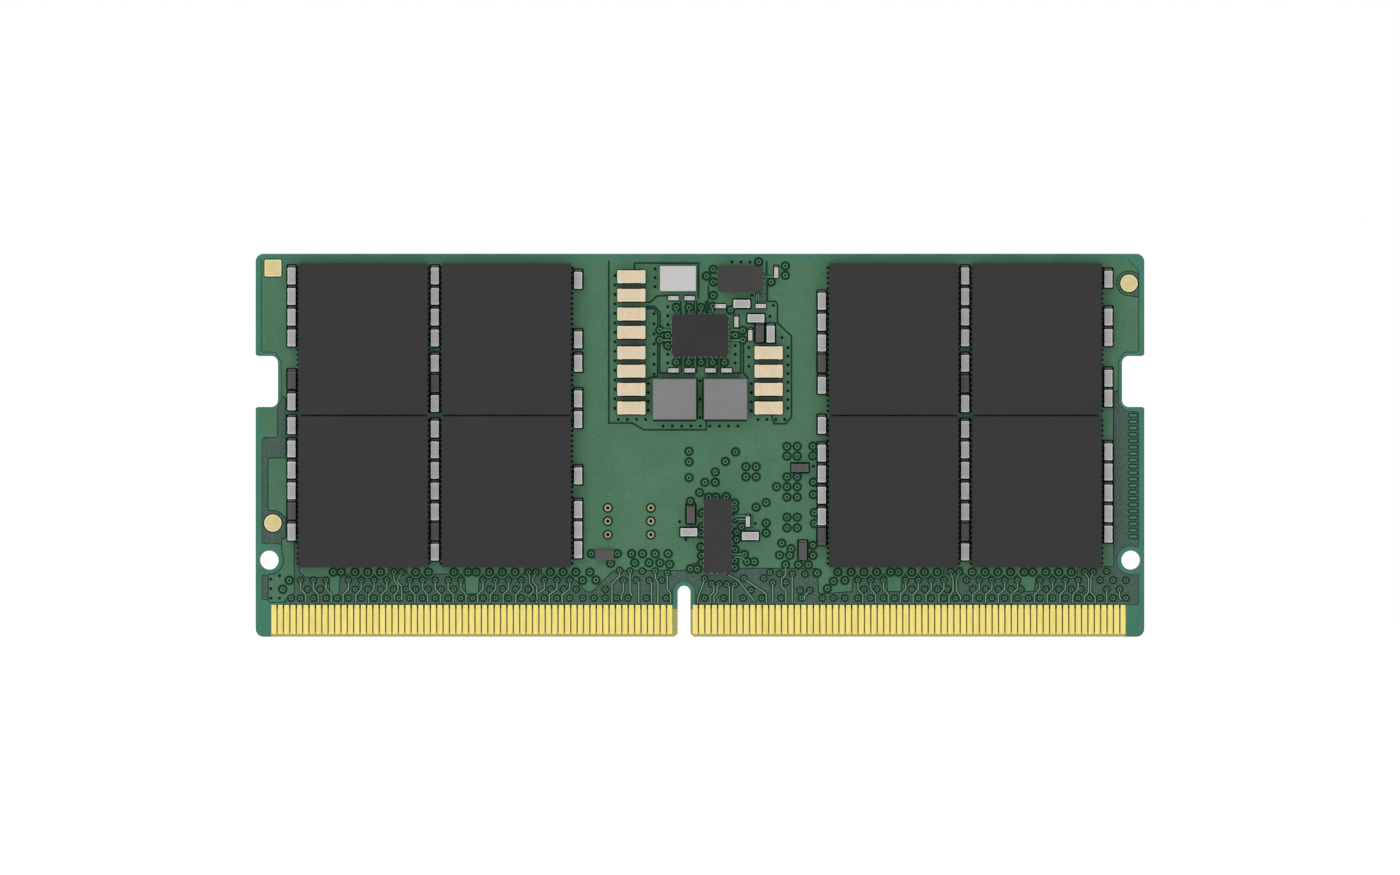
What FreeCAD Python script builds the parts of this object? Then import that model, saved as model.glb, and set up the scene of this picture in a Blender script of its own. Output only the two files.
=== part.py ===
import FreeCAD, Part
import math
import os

# Notebook memory module: a laminated circuit card with edge contacts, memory packages on both sides,
# a power supply in the middle of the front, and rows of small capacitors and resistors.
# X runs along the card, +Z points away from the contact edge, and the front faces -Y.
# The origin is the middle of the leading contact edge, on the card's mid-plane. Millimetres.

Vec = FreeCAD.Vector

# ---- card ----
card_length = 69.6
card_height = 30.0
laminate_thickness = 1.14
mask_thickness = 0.03           # copper pads and contacts are as thick as the mask around them
corner_radius = 0.62
latch_bottom = 18.0             # lower edge of the latch notch in each end
latch_height = 4.0
latch_depth = 1.75
latch_inner_radius = 0.55
latch_lip_radius = 0.2
key_offset = -1.25              # centre of the key slot
key_width = 1.0
key_height = 4.0
key_mouth_chamfer = 0.25
alignment_radius = 0.75
alignment_inset = 1.05          # from the card's end to the hole's centre
alignment_rise = 6.0

# ---- edge contacts ----
contact_pitch = 0.5
contact_width = 0.38
contact_bottom = 0.23
contact_top = 2.5
contacts_left = 63
contacts_right = 68
gap_left_of_key = 0.43          # from the last left contact to the key slot
gap_right_of_key = 0.19
contact_end_margin = 0.05       # the bevel and the mask window pass the outer contacts by this much
mask_tooth_bottom = 2.2         # the mask reaches down to here between the contacts
bevel_depth = 0.2               # the leading edge is thinned by this much on each face

# ---- memory packages ----
package_width = 10.12
package_height = 11.83
package_end_margin = 3.39       # from the card's end to the outer package
package_column_gap = 1.08
package_row_gap = 0.12
package_bottom = 5.445
ball_rows = 13
ball_columns = (-4, -3, -2, 2, 3, 4)
ball_pitch = 0.8
ball_foot_radius = 0.2
ball_bulge_radius = 0.25
ball_standoff = 0.26
substrate_thickness = 0.2
package_mould_thickness = 0.64
package_die_width = 7.6
package_die_height = 8.8
package_die_thickness = 0.3

# ---- small parts: length over the terminals, width, height, terminal length, plating ----
solder_gap = 0.03               # solder between a pad and the terminal above it
solder_toe = 0.07               # solder beyond the terminal's end
solder_climb = 0.45             # share of the terminal's height that the fillet climbs
fillet_hollow = 0.3             # share of the toe left at half the climb; 0.5 would be a straight slope
capacitor_size = {"length": 1.3, "width": 0.64, "height": 0.6, "terminal": 0.3, "plating": 0.015}
resistor_size = {"length": 1.32, "width": 0.66, "height": 0.4, "terminal": 0.14, "plating": 0.015}
small_capacitor_size = {"length": 0.8, "width": 0.33, "height": 0.33, "terminal": 0.18, "plating": 0.01}
bulk_capacitor_size = {"length": 2.2, "width": 1.02, "height": 0.85, "terminal": 0.42, "plating": 0.02}

# ---- inductors ----
power_inductor = {"length": 3.38, "width": 3.15, "height": 1.0, "terminal": 0.85, "winding": 1.2}
small_inductor = {"length": 2.83, "width": 1.97, "height": 0.8, "terminal": 0.6, "winding": 0.75}
inductor_plate_thickness = 0.12
inductor_plate_inset = 0.12
winding_band = 0.4              # radial width of the flat winding
winding_share = 0.55            # share of the core's height that the winding fills

# ---- leadless chips: lead counts are along the length (top and bottom) and along the width (ends) ----
lead_thickness = 0.1
lead_width = 0.2
lead_reach = 0.35               # from the chip's edge inwards
lead_toe = 0.04
lead_to_heat_pad = 0.25
chip_die_share = 0.6            # the die's size as a share of the heat pad's
chip_die_thickness = 0.2
power_chip = {"length": 4.4, "width": 3.34, "height": 0.7, "corner": 0.33,
              "along": 9, "ends": 6, "pitch": 0.42}
hub_chip = {"length": 3.6, "width": 1.98, "height": 0.6, "corner": 0.25,
            "along": 0, "ends": 4, "pitch": 0.42}
clock_chip = {"length": 5.8, "width": 2.22, "height": 0.75, "corner": 0.12,
              "along": 11, "ends": 3, "pitch": 0.48}

# ---- resistor array ----
array_length = 1.49
array_width = 0.8
array_height = 0.4
array_terminal_width = 0.36
array_terminal_length = 0.2
array_terminal_offset = 0.36

# ---- plated holes and fiducial marks ----
plated_hole_radius = 0.12
plated_wall = 0.05
plated_ring_radius = 0.26
fiducial_radius = 0.67
fiducial_square = 1.3

# ---- levels, as distances from the mid-plane ----
laminate_face = laminate_thickness / 2
mask_face = laminate_face + mask_thickness
seat = mask_face + solder_gap
chip_floor = seat + lead_thickness
substrate_floor = mask_face + ball_standoff
mould_floor = substrate_floor + substrate_thickness
package_face = mould_floor + package_mould_thickness

# ---- places, as (x, z) ----
half_length = card_length / 2
outer_package_x = half_length - package_end_margin - package_width / 2
inner_package_x = outer_package_x - package_width - package_column_gap
package_xs = (-outer_package_x, -inner_package_x, inner_package_x, outer_package_x)
package_zs = (package_bottom + package_height * 1.5 + package_row_gap, package_bottom + package_height / 2)
end_column_x = outer_package_x + package_width / 2 + 0.55
middle_column_x = (outer_package_x + inner_package_x) / 2
inner_column_x = inner_package_x - package_width / 2 - 0.55

# Upright capacitors and resistors stand in columns beside the packages: (x, capacitor zs, resistor zs).
part_columns = (
    (-end_column_x, (28.25, 26.65, 25.03, 23.4, 18.4, 16.54, 14.72, 13.07, 11.44, 8.21), (20.11, 9.87)),
    (-middle_column_x, (28.25, 26.66, 25.03, 23.4, 21.42, 18.27, 16.27, 14.65, 13.04, 11.42, 9.79, 6.64),
     (19.83, 8.25)),
    (-inner_column_x, (27.91, 23.26, 21.42, 18.63, 17.02, 12.61, 9.97, 8.38, 6.83), ()),
    (inner_column_x, (26.27, 24.64, 23.01, 19.7, 16.56, 14.39, 12.76, 11.1, 9.41), (21.41, 7.87)),
    (middle_column_x, (28.25, 26.64, 25.04, 23.41, 21.42, 18.26, 16.25, 14.64, 13.05, 11.42, 9.79, 6.66),
     (19.81, 8.21)),
    (end_column_x, (28.0, 25.04, 23.44, 20.25, 18.69, 14.49, 12.91, 11.27, 9.65, 8.05), ()),
)

# The middle of the front: each entry is (x, z, upright).
front_capacitors = ((-0.87, 8.2, False), (3.27, 26.07, False), (4.38, 24.94, False), (3.94, 7.9, False),
                    (5.53, 23.7, True))
front_resistors = ((4.68, 23.74, True), (-0.72, 9.57, True), (8.05, 6.7, True), (7.83, 13.23, False))
small_capacitors = ((-2.08, 26.52, False), (-0.81, 26.52, False), (-2.08, 20.86, False),
                    (-0.81, 20.86, False), (0.82, 20.86, False), (2.08, 20.86, False),
                    (1.61, 25.89, False), (4.76, 25.9, False), (2.85, 24.66, True),
                    (3.94, 23.61, True), (5.97, 28.52, True), (3.75, 9.03, True))
bulk_left_x = -5.37
bulk_right_x = 5.37
bulk_left_zs = (28.19, 26.74, 25.27, 23.84, 22.24, 20.8, 19.38, 17.92)
bulk_right_zs = (22.24, 20.8, 19.38, 17.92)
power_chip_place = (0.0, 23.6)
hub_chip_place = (3.15, 28.02)
clock_chip_place = (1.39, 7.92)
power_inductor_places = ((-1.99, 18.61), (2.0, 18.61))
small_inductor_place = (-1.72, 28.05)
array_place = (-7.47, 6.39)
plated_hole_places = [(x, z) for x in (-7.22, -3.85) for z in (10.1, 9.06, 8.0)]
fiducial_places = ((-half_length + 1.35, 8.91), (half_length - 1.2, 27.69))
fiducial_square_place = (-half_length + 1.36, 28.88)

# The middle of the back: a grid of capacitors with a row of resistors under it, as (x, z, upright).
back_capacitors = [(x, z, True) for x in (-6.4, -3.2, 3.2, 6.4) for z in (26.5, 23.5, 20.5, 17.5, 14.5)]
back_resistors = [(x, 10.5, False) for x in (-1.1, 1.1, 4.0, 6.2)]


def slab(length, width, low, high, x=0.0, z=0.0, corner=0.0):
    """A plate on the front, between two levels, with its corners rounded if a radius is given."""
    plate = Part.makeBox(length, high - low, width, Vec(x - length / 2, -high, z - width / 2))
    if corner:
        upright_edges = [e for e in plate.Edges if abs(e.tangentAt(e.FirstParameter).y) > 0.99]
        plate = plate.makeFillet(corner, upright_edges)
    return plate


def seated(shape, x, z, upright=False, side="front"):
    """A copy of a shape drawn on the front at the origin, turned and moved to its place."""
    copy = shape.copy()
    if upright:
        copy.rotate(Vec(0, 0, 0), Vec(0, 1, 0), 90)
    if side == "back":
        copy.rotate(Vec(0, 0, 0), Vec(0, 0, 1), 180)
    copy.translate(Vec(x, 0, z))
    return copy


def wire_through(corners):
    """A closed outline in the XZ plane through (x, z, radius) corners, rounded where there is a radius."""
    edges = []
    starts = []
    ends = []
    arcs = []
    count = len(corners)
    for i, (x, z, radius) in enumerate(corners):
        here = Vec(x, 0, z)
        to_before = Vec(corners[i - 1][0], 0, corners[i - 1][1]) - here
        to_after = Vec(corners[(i + 1) % count][0], 0, corners[(i + 1) % count][1]) - here
        to_before.normalize()
        to_after.normalize()
        if not radius:
            starts.append(here)
            ends.append(here)
            arcs.append(None)
            continue
        half_angle = to_before.getAngle(to_after) / 2
        reach = radius / math.tan(half_angle)
        inward = to_before + to_after
        inward.normalize()
        starts.append(here + to_before * reach)
        ends.append(here + to_after * reach)
        arcs.append(here + inward * (radius / math.sin(half_angle) - radius))
    for i in range(count):
        if arcs[i]:
            edges.append(Part.Arc(starts[i], arcs[i], ends[i]).toShape())
        following = starts[(i + 1) % count]
        if (following - ends[i]).Length > 1e-6:
            edges.append(Part.LineSegment(ends[i], following).toShape())
    return Part.Wire(edges)


def circle_wire(x, z, radius):
    return Part.Wire([Part.makeCircle(radius, Vec(x, 0, z), Vec(0, 1, 0))])


def rectangle_wire(x, z, length, width):
    across, up = length / 2, width / 2
    return wire_through([(x - across, z - up, 0), (x + across, z - up, 0),
                         (x + across, z + up, 0), (x - across, z + up, 0)])


def turned_profile(points):
    """A solid turned about Y from (radius, y) points; four numbers are an arc's middle and end."""
    edges = []
    here = points[0]
    for following in list(points[1:]) + [points[0]]:
        start, middle, end = Vec(*here, 0), Vec(*following[:2], 0), Vec(*following[-2:], 0)
        edge = Part.Arc(start, middle, end) if len(following) == 4 else Part.LineSegment(start, end)
        edges.append(edge.toShape())
        here = following[-2:]
    return Part.Face(Part.Wire(edges)).revolve(Vec(0, 0, 0), Vec(0, 1, 0), 360)


# ---- contact positions ----
key_left = key_offset - key_width / 2
key_right = key_offset + key_width / 2
first_left = key_left - gap_left_of_key - contact_width / 2
first_right = key_right + gap_right_of_key + contact_width / 2
contact_xs = sorted([first_left - i * contact_pitch for i in range(contacts_left)]
                    + [first_right + i * contact_pitch for i in range(contacts_right)])
window_left = contact_xs[0] - contact_width / 2 - contact_end_margin
window_right = contact_xs[-1] + contact_width / 2 + contact_end_margin
latch_top = latch_bottom + latch_height
alignment_x = half_length - alignment_inset


def upper_corners():
    """The card's corners from the bottom right round the top to the bottom left."""
    notch_x = half_length - latch_depth
    right = [(half_length, 0, corner_radius),
             (half_length, latch_bottom, latch_lip_radius), (notch_x, latch_bottom, latch_inner_radius),
             (notch_x, latch_top, latch_inner_radius), (half_length, latch_top, latch_lip_radius),
             (half_length, card_height, corner_radius)]
    left = [(-x, z, radius) for x, z, radius in reversed(right)]
    return right + left


def key_corners(mouth):
    """The key slot from left to right: its two mouth corners are given, and its top is a half circle."""
    return (mouth + [(key_left, key_height, key_width / 2), (key_right, key_height, key_width / 2)]
            + [(2 * key_offset - x, z, radius) for x, z, radius in reversed(mouth)])


def contact_comb(xs):
    """The mask's lower edge: up over each contact's top end and down between the contacts."""
    points = []
    for x in xs:
        left, right = x - contact_width / 2, x + contact_width / 2
        points += [(left, mask_tooth_bottom, 0), (left, contact_top, 0),
                   (right, contact_top, 0), (right, mask_tooth_bottom, 0)]
    return points


def drill(x, z, radius):
    """A cylinder that passes right through the card."""
    return Part.makeCylinder(radius, 2 * laminate_thickness, Vec(x, -laminate_thickness, z), Vec(0, 1, 0))


def make_laminate():
    mouth = [(key_left - key_mouth_chamfer, 0, 0), (key_left, key_mouth_chamfer, 0)]
    outline = wire_through(upper_corners() + key_corners(mouth))
    card = Part.Face(outline).extrude(Vec(0, laminate_thickness, 0))
    card.translate(Vec(0, -laminate_face, 0))
    for side in (-1, 1):
        wedge = Part.makePolygon([Vec(window_left, side * laminate_face, contact_bottom),
                                  Vec(window_left, side * laminate_face, -1),
                                  Vec(window_left, side * (laminate_face - bevel_depth), -1),
                                  Vec(window_left, side * (laminate_face - bevel_depth), 0),
                                  Vec(window_left, side * laminate_face, contact_bottom)])
        card = card.cut(Part.Face(wedge).extrude(Vec(window_right - window_left, 0, 0)))
    for x in (-alignment_x, alignment_x):
        card = card.cut(drill(x, alignment_rise, alignment_radius))
    for x, z in plated_hole_places:
        card = card.cut(drill(x, z, plated_hole_radius + plated_wall))
    return card.Solids[0]


def make_mask(side, openings):
    """The solder mask of one side, as a sheet with an opening at each pad, hole and mark."""
    left_comb = contact_comb([x for x in contact_xs if x < key_offset])
    right_comb = contact_comb([x for x in contact_xs if x > key_offset])
    outline = wire_through(upper_corners()
                           + [(window_left, 0, 0), (window_left, mask_tooth_bottom, 0)] + left_comb
                           + key_corners([(key_left, mask_tooth_bottom, 0)])
                           + right_comb + [(window_right, mask_tooth_bottom, 0), (window_right, 0, 0)])
    holes = [circle_wire(x, alignment_rise, alignment_radius) for x in (-alignment_x, alignment_x)]
    holes += [circle_wire(x, z, plated_ring_radius) for x, z in plated_hole_places]
    holes += [circle_wire(x, z, fiducial_radius) for x, z in fiducial_places]
    holes.append(rectangle_wire(*fiducial_square_place, fiducial_square, fiducial_square))
    holes += [circle_wire(x + dx, z + dz, ball_foot_radius)
              for x in package_xs for z in package_zs for dx, dz in ball_places]
    holes += [rectangle_wire(*opening) for opening in openings]
    sheet = Part.makeFace([outline] + holes, "Part::FaceMakerBullseye")
    low, high = (-mask_face, -laminate_face) if side == "front" else (laminate_face, mask_face)
    sheet.translate(Vec(0, low, 0))
    return sheet.extrude(Vec(0, high - low, 0))


def make_contacts(side):
    finger = slab(contact_width, contact_top - contact_bottom, laminate_face, mask_face,
                  z=(contact_bottom + contact_top) / 2)
    return [seated(finger, x, 0, side=side) for x in contact_xs]


def make_fiducials(side):
    square = slab(fiducial_square, fiducial_square, laminate_face, mask_face)
    disc = Part.makeCylinder(fiducial_radius, mask_thickness, Vec(0, -mask_face, 0), Vec(0, 1, 0))
    marks = [seated(disc, x, z, side=side) for x, z in fiducial_places]
    return marks + [seated(square, *fiducial_square_place, side=side)]


def make_barrels():
    """Plated holes: a thin tube through the card with a ring on each face."""
    wall = plated_hole_radius + plated_wall
    barrel = turned_profile([(plated_hole_radius, -mask_face), (plated_ring_radius, -mask_face),
                             (plated_ring_radius, -laminate_face), (wall, -laminate_face),
                             (wall, laminate_face), (plated_ring_radius, laminate_face),
                             (plated_ring_radius, mask_face), (plated_hole_radius, mask_face)])
    return [seated(barrel, x, z) for x, z in plated_hole_places]


def make_package():
    """One memory package, as its mould, substrate, die and solder balls."""
    die = slab(package_die_width, package_die_height, mould_floor, mould_floor + package_die_thickness)
    mould = slab(package_width, package_height, mould_floor, package_face).cut(die)
    substrate = slab(package_width, package_height, substrate_floor, mould_floor)
    middle = (mask_face + substrate_floor) / 2
    ball = turned_profile([(0, -laminate_face), (ball_foot_radius, -laminate_face),
                           (ball_foot_radius, -mask_face),
                           (ball_bulge_radius, -middle, ball_foot_radius, -substrate_floor),
                           (0, -substrate_floor)])
    balls = [seated(ball, dx, dz) for dx, dz in ball_places]
    return mould, substrate, die, balls


def solder_and_pads(length, width, terminal, climb_height):
    """The two solder joints and copper pads of a part with a terminal at each end, and the pads' places."""
    solder = []
    pads = []
    pad_length = terminal + solder_toe
    pad_x = length / 2 - terminal + pad_length / 2
    end = length / 2
    climb_top = seat + climb_height
    inner_top, inner_foot = Vec(end - terminal, -seat, 0), Vec(end - terminal, -mask_face, 0)
    toe, climb, shoulder = Vec(end + solder_toe, -mask_face, 0), Vec(end, -climb_top, 0), Vec(end, -seat, 0)
    hollow = Vec(end + fillet_hollow * solder_toe, -(mask_face + climb_top) / 2, 0)
    profile = [Part.LineSegment(inner_top, inner_foot), Part.LineSegment(inner_foot, toe),
               Part.Arc(toe, hollow, climb), Part.LineSegment(climb, shoulder),
               Part.LineSegment(shoulder, inner_top)]
    joint = Part.Face(Part.Wire([line.toShape() for line in profile])).extrude(Vec(0, 0, width))
    joint.translate(Vec(0, 0, -width / 2))
    for turn in (0, 180):
        copy = joint.copy()
        copy.rotate(Vec(0, 0, 0), Vec(0, 1, 0), turn)
        solder.append(copy)
        across = pad_x if turn == 0 else -pad_x
        pads.append((across, 0.0, pad_length, width))
    return solder, pads


def make_chip_part(size):
    """A capacitor or resistor lying along X: a body with a plated cup over each end."""
    length, width, plating = size["length"], size["width"], size["plating"]
    top = seat + size["height"]
    body = slab(length - 2 * plating, width - 2 * plating, seat + plating, top - plating)
    ends = [slab(size["terminal"], width, seat, top, x=sign * (length - size["terminal"]) / 2).cut(body)
            for sign in (-1, 1)]
    solder, pads = solder_and_pads(length, width, size["terminal"], size["height"] * solder_climb)
    return {"body": [body], "ends": ends, "solder": solder, "pads": pads}


def make_inductor(size):
    """A moulded inductor: a block on two plates, with a flat ring winding open to its underside."""
    length, width = size["length"], size["width"]
    floor = seat + inductor_plate_thickness
    top = seat + size["height"]
    winding_top = floor + winding_share * (top - floor)
    ring = turned_profile([(size["winding"] - winding_band, -floor), (size["winding"], -floor),
                           (size["winding"], -winding_top), (size["winding"] - winding_band, -winding_top)])
    core = slab(length, width, floor, top).cut(ring)
    plate_width = width - 2 * inductor_plate_inset
    plate_x = (length - size["terminal"]) / 2 - inductor_plate_inset
    plates = [slab(size["terminal"], plate_width, seat, floor, x=sign * plate_x) for sign in (-1, 1)]
    solder = [slab(size["terminal"], plate_width, mask_face, seat, x=sign * plate_x) for sign in (-1, 1)]
    pads = [(sign * plate_x, 0.0, size["terminal"], plate_width) for sign in (-1, 1)]
    return {"body": [core], "ends": plates, "solder": solder, "pads": pads, "winding": [ring]}


def make_leadless_chip(size):
    """A moulded chip on flat leads round its edge and a heat pad, with its die on the heat pad."""
    length, width = size["length"], size["width"]
    lead_length = lead_reach + lead_toe
    spots = []
    for i in range(size["along"]):
        x = (i - (size["along"] - 1) / 2) * size["pitch"]
        z = width / 2 + lead_toe - lead_length / 2
        spots += [(x, z, lead_width, lead_length), (x, -z, lead_width, lead_length)]
    for i in range(size["ends"]):
        z = (i - (size["ends"] - 1) / 2) * size["pitch"]
        x = length / 2 + lead_toe - lead_length / 2
        spots += [(x, z, lead_length, lead_width), (-x, z, lead_length, lead_width)]
    clear_along = lead_reach + lead_to_heat_pad
    heat_pad = (0.0, 0.0, length - 2 * clear_along, width - 2 * clear_along)
    spots.append(heat_pad)
    leads = [slab(w, h, seat, chip_floor, x=x, z=z) for x, z, w, h in spots]
    solder = [slab(w, h, mask_face, seat, x=x, z=z) for x, z, w, h in spots]
    die = slab(heat_pad[2] * chip_die_share, heat_pad[3] * chip_die_share, chip_floor,
               chip_floor + chip_die_thickness)
    mould = slab(length, width, chip_floor, seat + size["height"], corner=size["corner"]).cut(die)
    return {"body": [mould], "ends": leads, "solder": solder, "pads": spots, "die": [die]}


def make_resistor_array():
    """Two resistors in one block, with two terminals along each long side."""
    top = seat + array_height
    plating = resistor_size["plating"]
    body = slab(array_length, array_width - 2 * plating, seat + plating, top - plating)
    spots = [(across * array_terminal_offset, up * (array_width - array_terminal_length) / 2)
             for across in (-1, 1) for up in (-1, 1)]
    ends = [slab(array_terminal_width, array_terminal_length, seat, top, x=x, z=z).cut(body)
            for x, z in spots]
    pads = [(x, z, array_terminal_width, array_terminal_length) for x, z in spots]
    solder = [slab(w, h, mask_face, seat, x=x, z=z) for x, z, w, h in pads]
    return {"body": [body], "ends": ends, "solder": solder, "pads": pads}


# ---- the board fills up: every node is a list of solids ----
nodes = {}
mask_openings = {"front": [], "back": []}


def add(node, solids):
    nodes.setdefault(node, []).extend(solids)


def place_part(part, names, x, z, upright=False, side="front"):
    """Puts one soldered part on the card: its pieces, its solder, its pads and their mask openings."""
    for piece, node in names.items():
        add(node, [seated(solid, x, z, upright, side) for solid in part[piece]])
    add("solder_joints_" + side, [seated(solid, x, z, upright, side) for solid in part["solder"]])
    for pad_x, pad_z, length, width in part["pads"]:
        pad = slab(length, width, laminate_face, mask_face, x=pad_x, z=pad_z)
        pad = seated(pad, x, z, upright, side)
        add("component_pads_" + side, [pad])
        box = pad.BoundBox
        mask_openings[side].append((box.Center.x, box.Center.z, box.XLength, box.ZLength))


ball_places = [(column * ball_pitch, (row - (ball_rows - 1) / 2) * ball_pitch)
               for column in ball_columns for row in range(ball_rows)]
mould, substrate, package_die, balls = make_package()
for side in ("front", "back"):
    spots = [(x, z) for z in package_zs for x in package_xs]
    for number, (x, z) in enumerate(spots, 1):
        add(f"memory_mould_{side}_{number}", [seated(mould, x, z, side=side)])
        add("memory_substrates_" + side, [seated(substrate, x, z, side=side)])
        add("memory_dies_" + side, [seated(package_die, x, z, side=side)])
        add("memory_solder_balls_" + side, [seated(ball, x, z, side=side) for ball in balls])

capacitor = make_chip_part(capacitor_size)
resistor = make_chip_part(resistor_size)
for side, loose_capacitors, loose_resistors in (("front", front_capacitors, front_resistors),
                                                ("back", back_capacitors, back_resistors)):
    capacitor_names = {"body": "capacitor_bodies_" + side, "ends": "capacitor_terminals_" + side}
    resistor_names = {"body": "resistor_bodies_" + side, "ends": "resistor_terminals_" + side}
    for x, capacitor_zs, resistor_zs in part_columns:
        for z in capacitor_zs:
            place_part(capacitor, capacitor_names, x, z, True, side)
        for z in resistor_zs:
            place_part(resistor, resistor_names, x, z, True, side)
    for x, z, upright in loose_capacitors:
        place_part(capacitor, capacitor_names, x, z, upright, side)
    for x, z, upright in loose_resistors:
        place_part(resistor, resistor_names, x, z, upright, side)

small_capacitor = make_chip_part(small_capacitor_size)
small_names = {"body": "small_capacitor_bodies", "ends": "small_capacitor_terminals"}
for x, z, upright in small_capacitors:
    place_part(small_capacitor, small_names, x, z, upright)

bulk_capacitor = make_chip_part(bulk_capacitor_size)
bulk_names = {"body": "bulk_capacitor_bodies", "ends": "bulk_capacitor_terminals"}
for x, zs in ((bulk_left_x, bulk_left_zs), (bulk_right_x, bulk_right_zs)):
    for z in zs:
        place_part(bulk_capacitor, bulk_names, x, z)

inductor_names = {"ends": "inductor_terminals", "winding": "inductor_windings"}
for x, z in power_inductor_places:
    place_part(make_inductor(power_inductor), {"body": "power_inductor_cores", **inductor_names}, x, z)
place_part(make_inductor(small_inductor), {"body": "small_inductor_core", **inductor_names},
           *small_inductor_place)

for name, size, place, upright in (("power_chip", power_chip, power_chip_place, False),
                                   ("hub_chip", hub_chip, hub_chip_place, False),
                                   ("clock_chip", clock_chip, clock_chip_place, True)):
    chip_names = {"body": name + "_mould", "ends": name + "_leads", "die": "chip_dies"}
    place_part(make_leadless_chip(size), chip_names, *place, upright)
place_part(make_resistor_array(), {"body": "resistor_array_body", "ends": "resistor_array_terminals"},
           *array_place)

add("circuit_card", [make_laminate()])
add("plated_hole_barrels", make_barrels())
for side in ("front", "back"):
    add("edge_contacts_" + side, make_contacts(side))
    add("fiducial_marks_" + side, make_fiducials(side))
    add("solder_mask_" + side, [make_mask(side, mask_openings[side])])

os.makedirs("parts", exist_ok=True)
for node, solids in nodes.items():
    shape = solids[0] if len(solids) == 1 else Part.makeCompound(solids)
    shape.exportStep(f"parts/{node}.step")
print(len(nodes), "nodes,", sum(len(solids) for solids in nodes.values()), "solids")
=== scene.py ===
import bpy
import numpy as np
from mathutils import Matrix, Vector


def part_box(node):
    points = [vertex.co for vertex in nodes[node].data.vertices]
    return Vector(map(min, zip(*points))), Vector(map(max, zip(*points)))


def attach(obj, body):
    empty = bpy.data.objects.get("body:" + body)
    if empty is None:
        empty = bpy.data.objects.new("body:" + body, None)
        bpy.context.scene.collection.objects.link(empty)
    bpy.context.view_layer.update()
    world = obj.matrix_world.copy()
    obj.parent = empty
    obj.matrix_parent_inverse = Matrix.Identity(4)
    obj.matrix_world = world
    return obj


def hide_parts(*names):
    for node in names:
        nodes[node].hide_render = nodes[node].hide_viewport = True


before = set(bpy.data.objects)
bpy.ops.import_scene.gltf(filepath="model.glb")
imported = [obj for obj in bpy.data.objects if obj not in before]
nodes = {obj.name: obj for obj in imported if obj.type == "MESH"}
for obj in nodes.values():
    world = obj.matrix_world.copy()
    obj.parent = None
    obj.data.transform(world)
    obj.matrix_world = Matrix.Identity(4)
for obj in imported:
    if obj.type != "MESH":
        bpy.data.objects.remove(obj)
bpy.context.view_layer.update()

# Notebook memory module: lengths below are millimetres, x along the card, z up from the contact edge.
mm = 0.001
maskFace = -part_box("solder_mask_front")[0].y / mm      # distance of the mask's face from the mid-plane
sides = {"front": 1, "back": -1}


def makeGroup(name, inputs, outputs):
    # an empty shader group with named sockets; the caller adds what is between them
    group = bpy.data.node_groups.new(name, "ShaderNodeTree")
    for socketName, kind, value in inputs:
        socket = group.interface.new_socket(name=socketName, in_out="INPUT", socket_type=kind)
        if value is not None:
            socket.default_value = value
    for socketName in outputs:
        group.interface.new_socket(name=socketName, in_out="OUTPUT", socket_type="NodeSocketFloat")
    return group, group.nodes.new("NodeGroupInput"), group.nodes.new("NodeGroupOutput")


def mathNode(group, operation, first, second=None):
    node = group.nodes.new("ShaderNodeMath")
    node.operation = operation
    for socket, value in zip(node.inputs, (first, second)):
        if value is None:
            continue
        if isinstance(value, (int, float)):
            socket.default_value = value
        else:
            group.links.new(value, socket)
    return node.outputs[0]


def noiseNode(group, vector, scale, detail=2.0):
    node = group.nodes.new("ShaderNodeTexNoise")
    node.inputs["Detail"].default_value = detail
    group.links.new(scale, node.inputs["Scale"])
    group.links.new(vector, node.inputs["Vector"])
    return node.outputs["Fac"]


def contrast(group, value, amount):
    # spreads a noise value about its middle by the amount, and keeps it between 0 and 1
    centred = mathNode(group, "SUBTRACT", value, 0.5)
    spread = mathNode(group, "ADD", mathNode(group, "MULTIPLY", centred, amount), 0.5)
    spread.node.use_clamp = True
    return spread


def grainGroup():
    # fine grain and a slow mottle, both between 0 and 1
    group, start, end = makeGroup("surfaceGrain", [("Vector", "NodeSocketVector", None),
                                                   ("Fineness", "NodeSocketFloat", 6.0),
                                                   ("Mottle", "NodeSocketFloat", 0.5)],
                                  ["Grain", "Patch", "Height"])
    fine = noiseNode(group, start.outputs["Vector"], start.outputs["Fineness"], 3.0)
    slow = noiseNode(group, start.outputs["Vector"], start.outputs["Mottle"], 2.0)
    group.links.new(contrast(group, fine, 2.2), end.inputs["Grain"])
    group.links.new(contrast(group, slow, 2.6), end.inputs["Patch"])
    group.links.new(fine, end.inputs["Height"])
    return group


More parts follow.
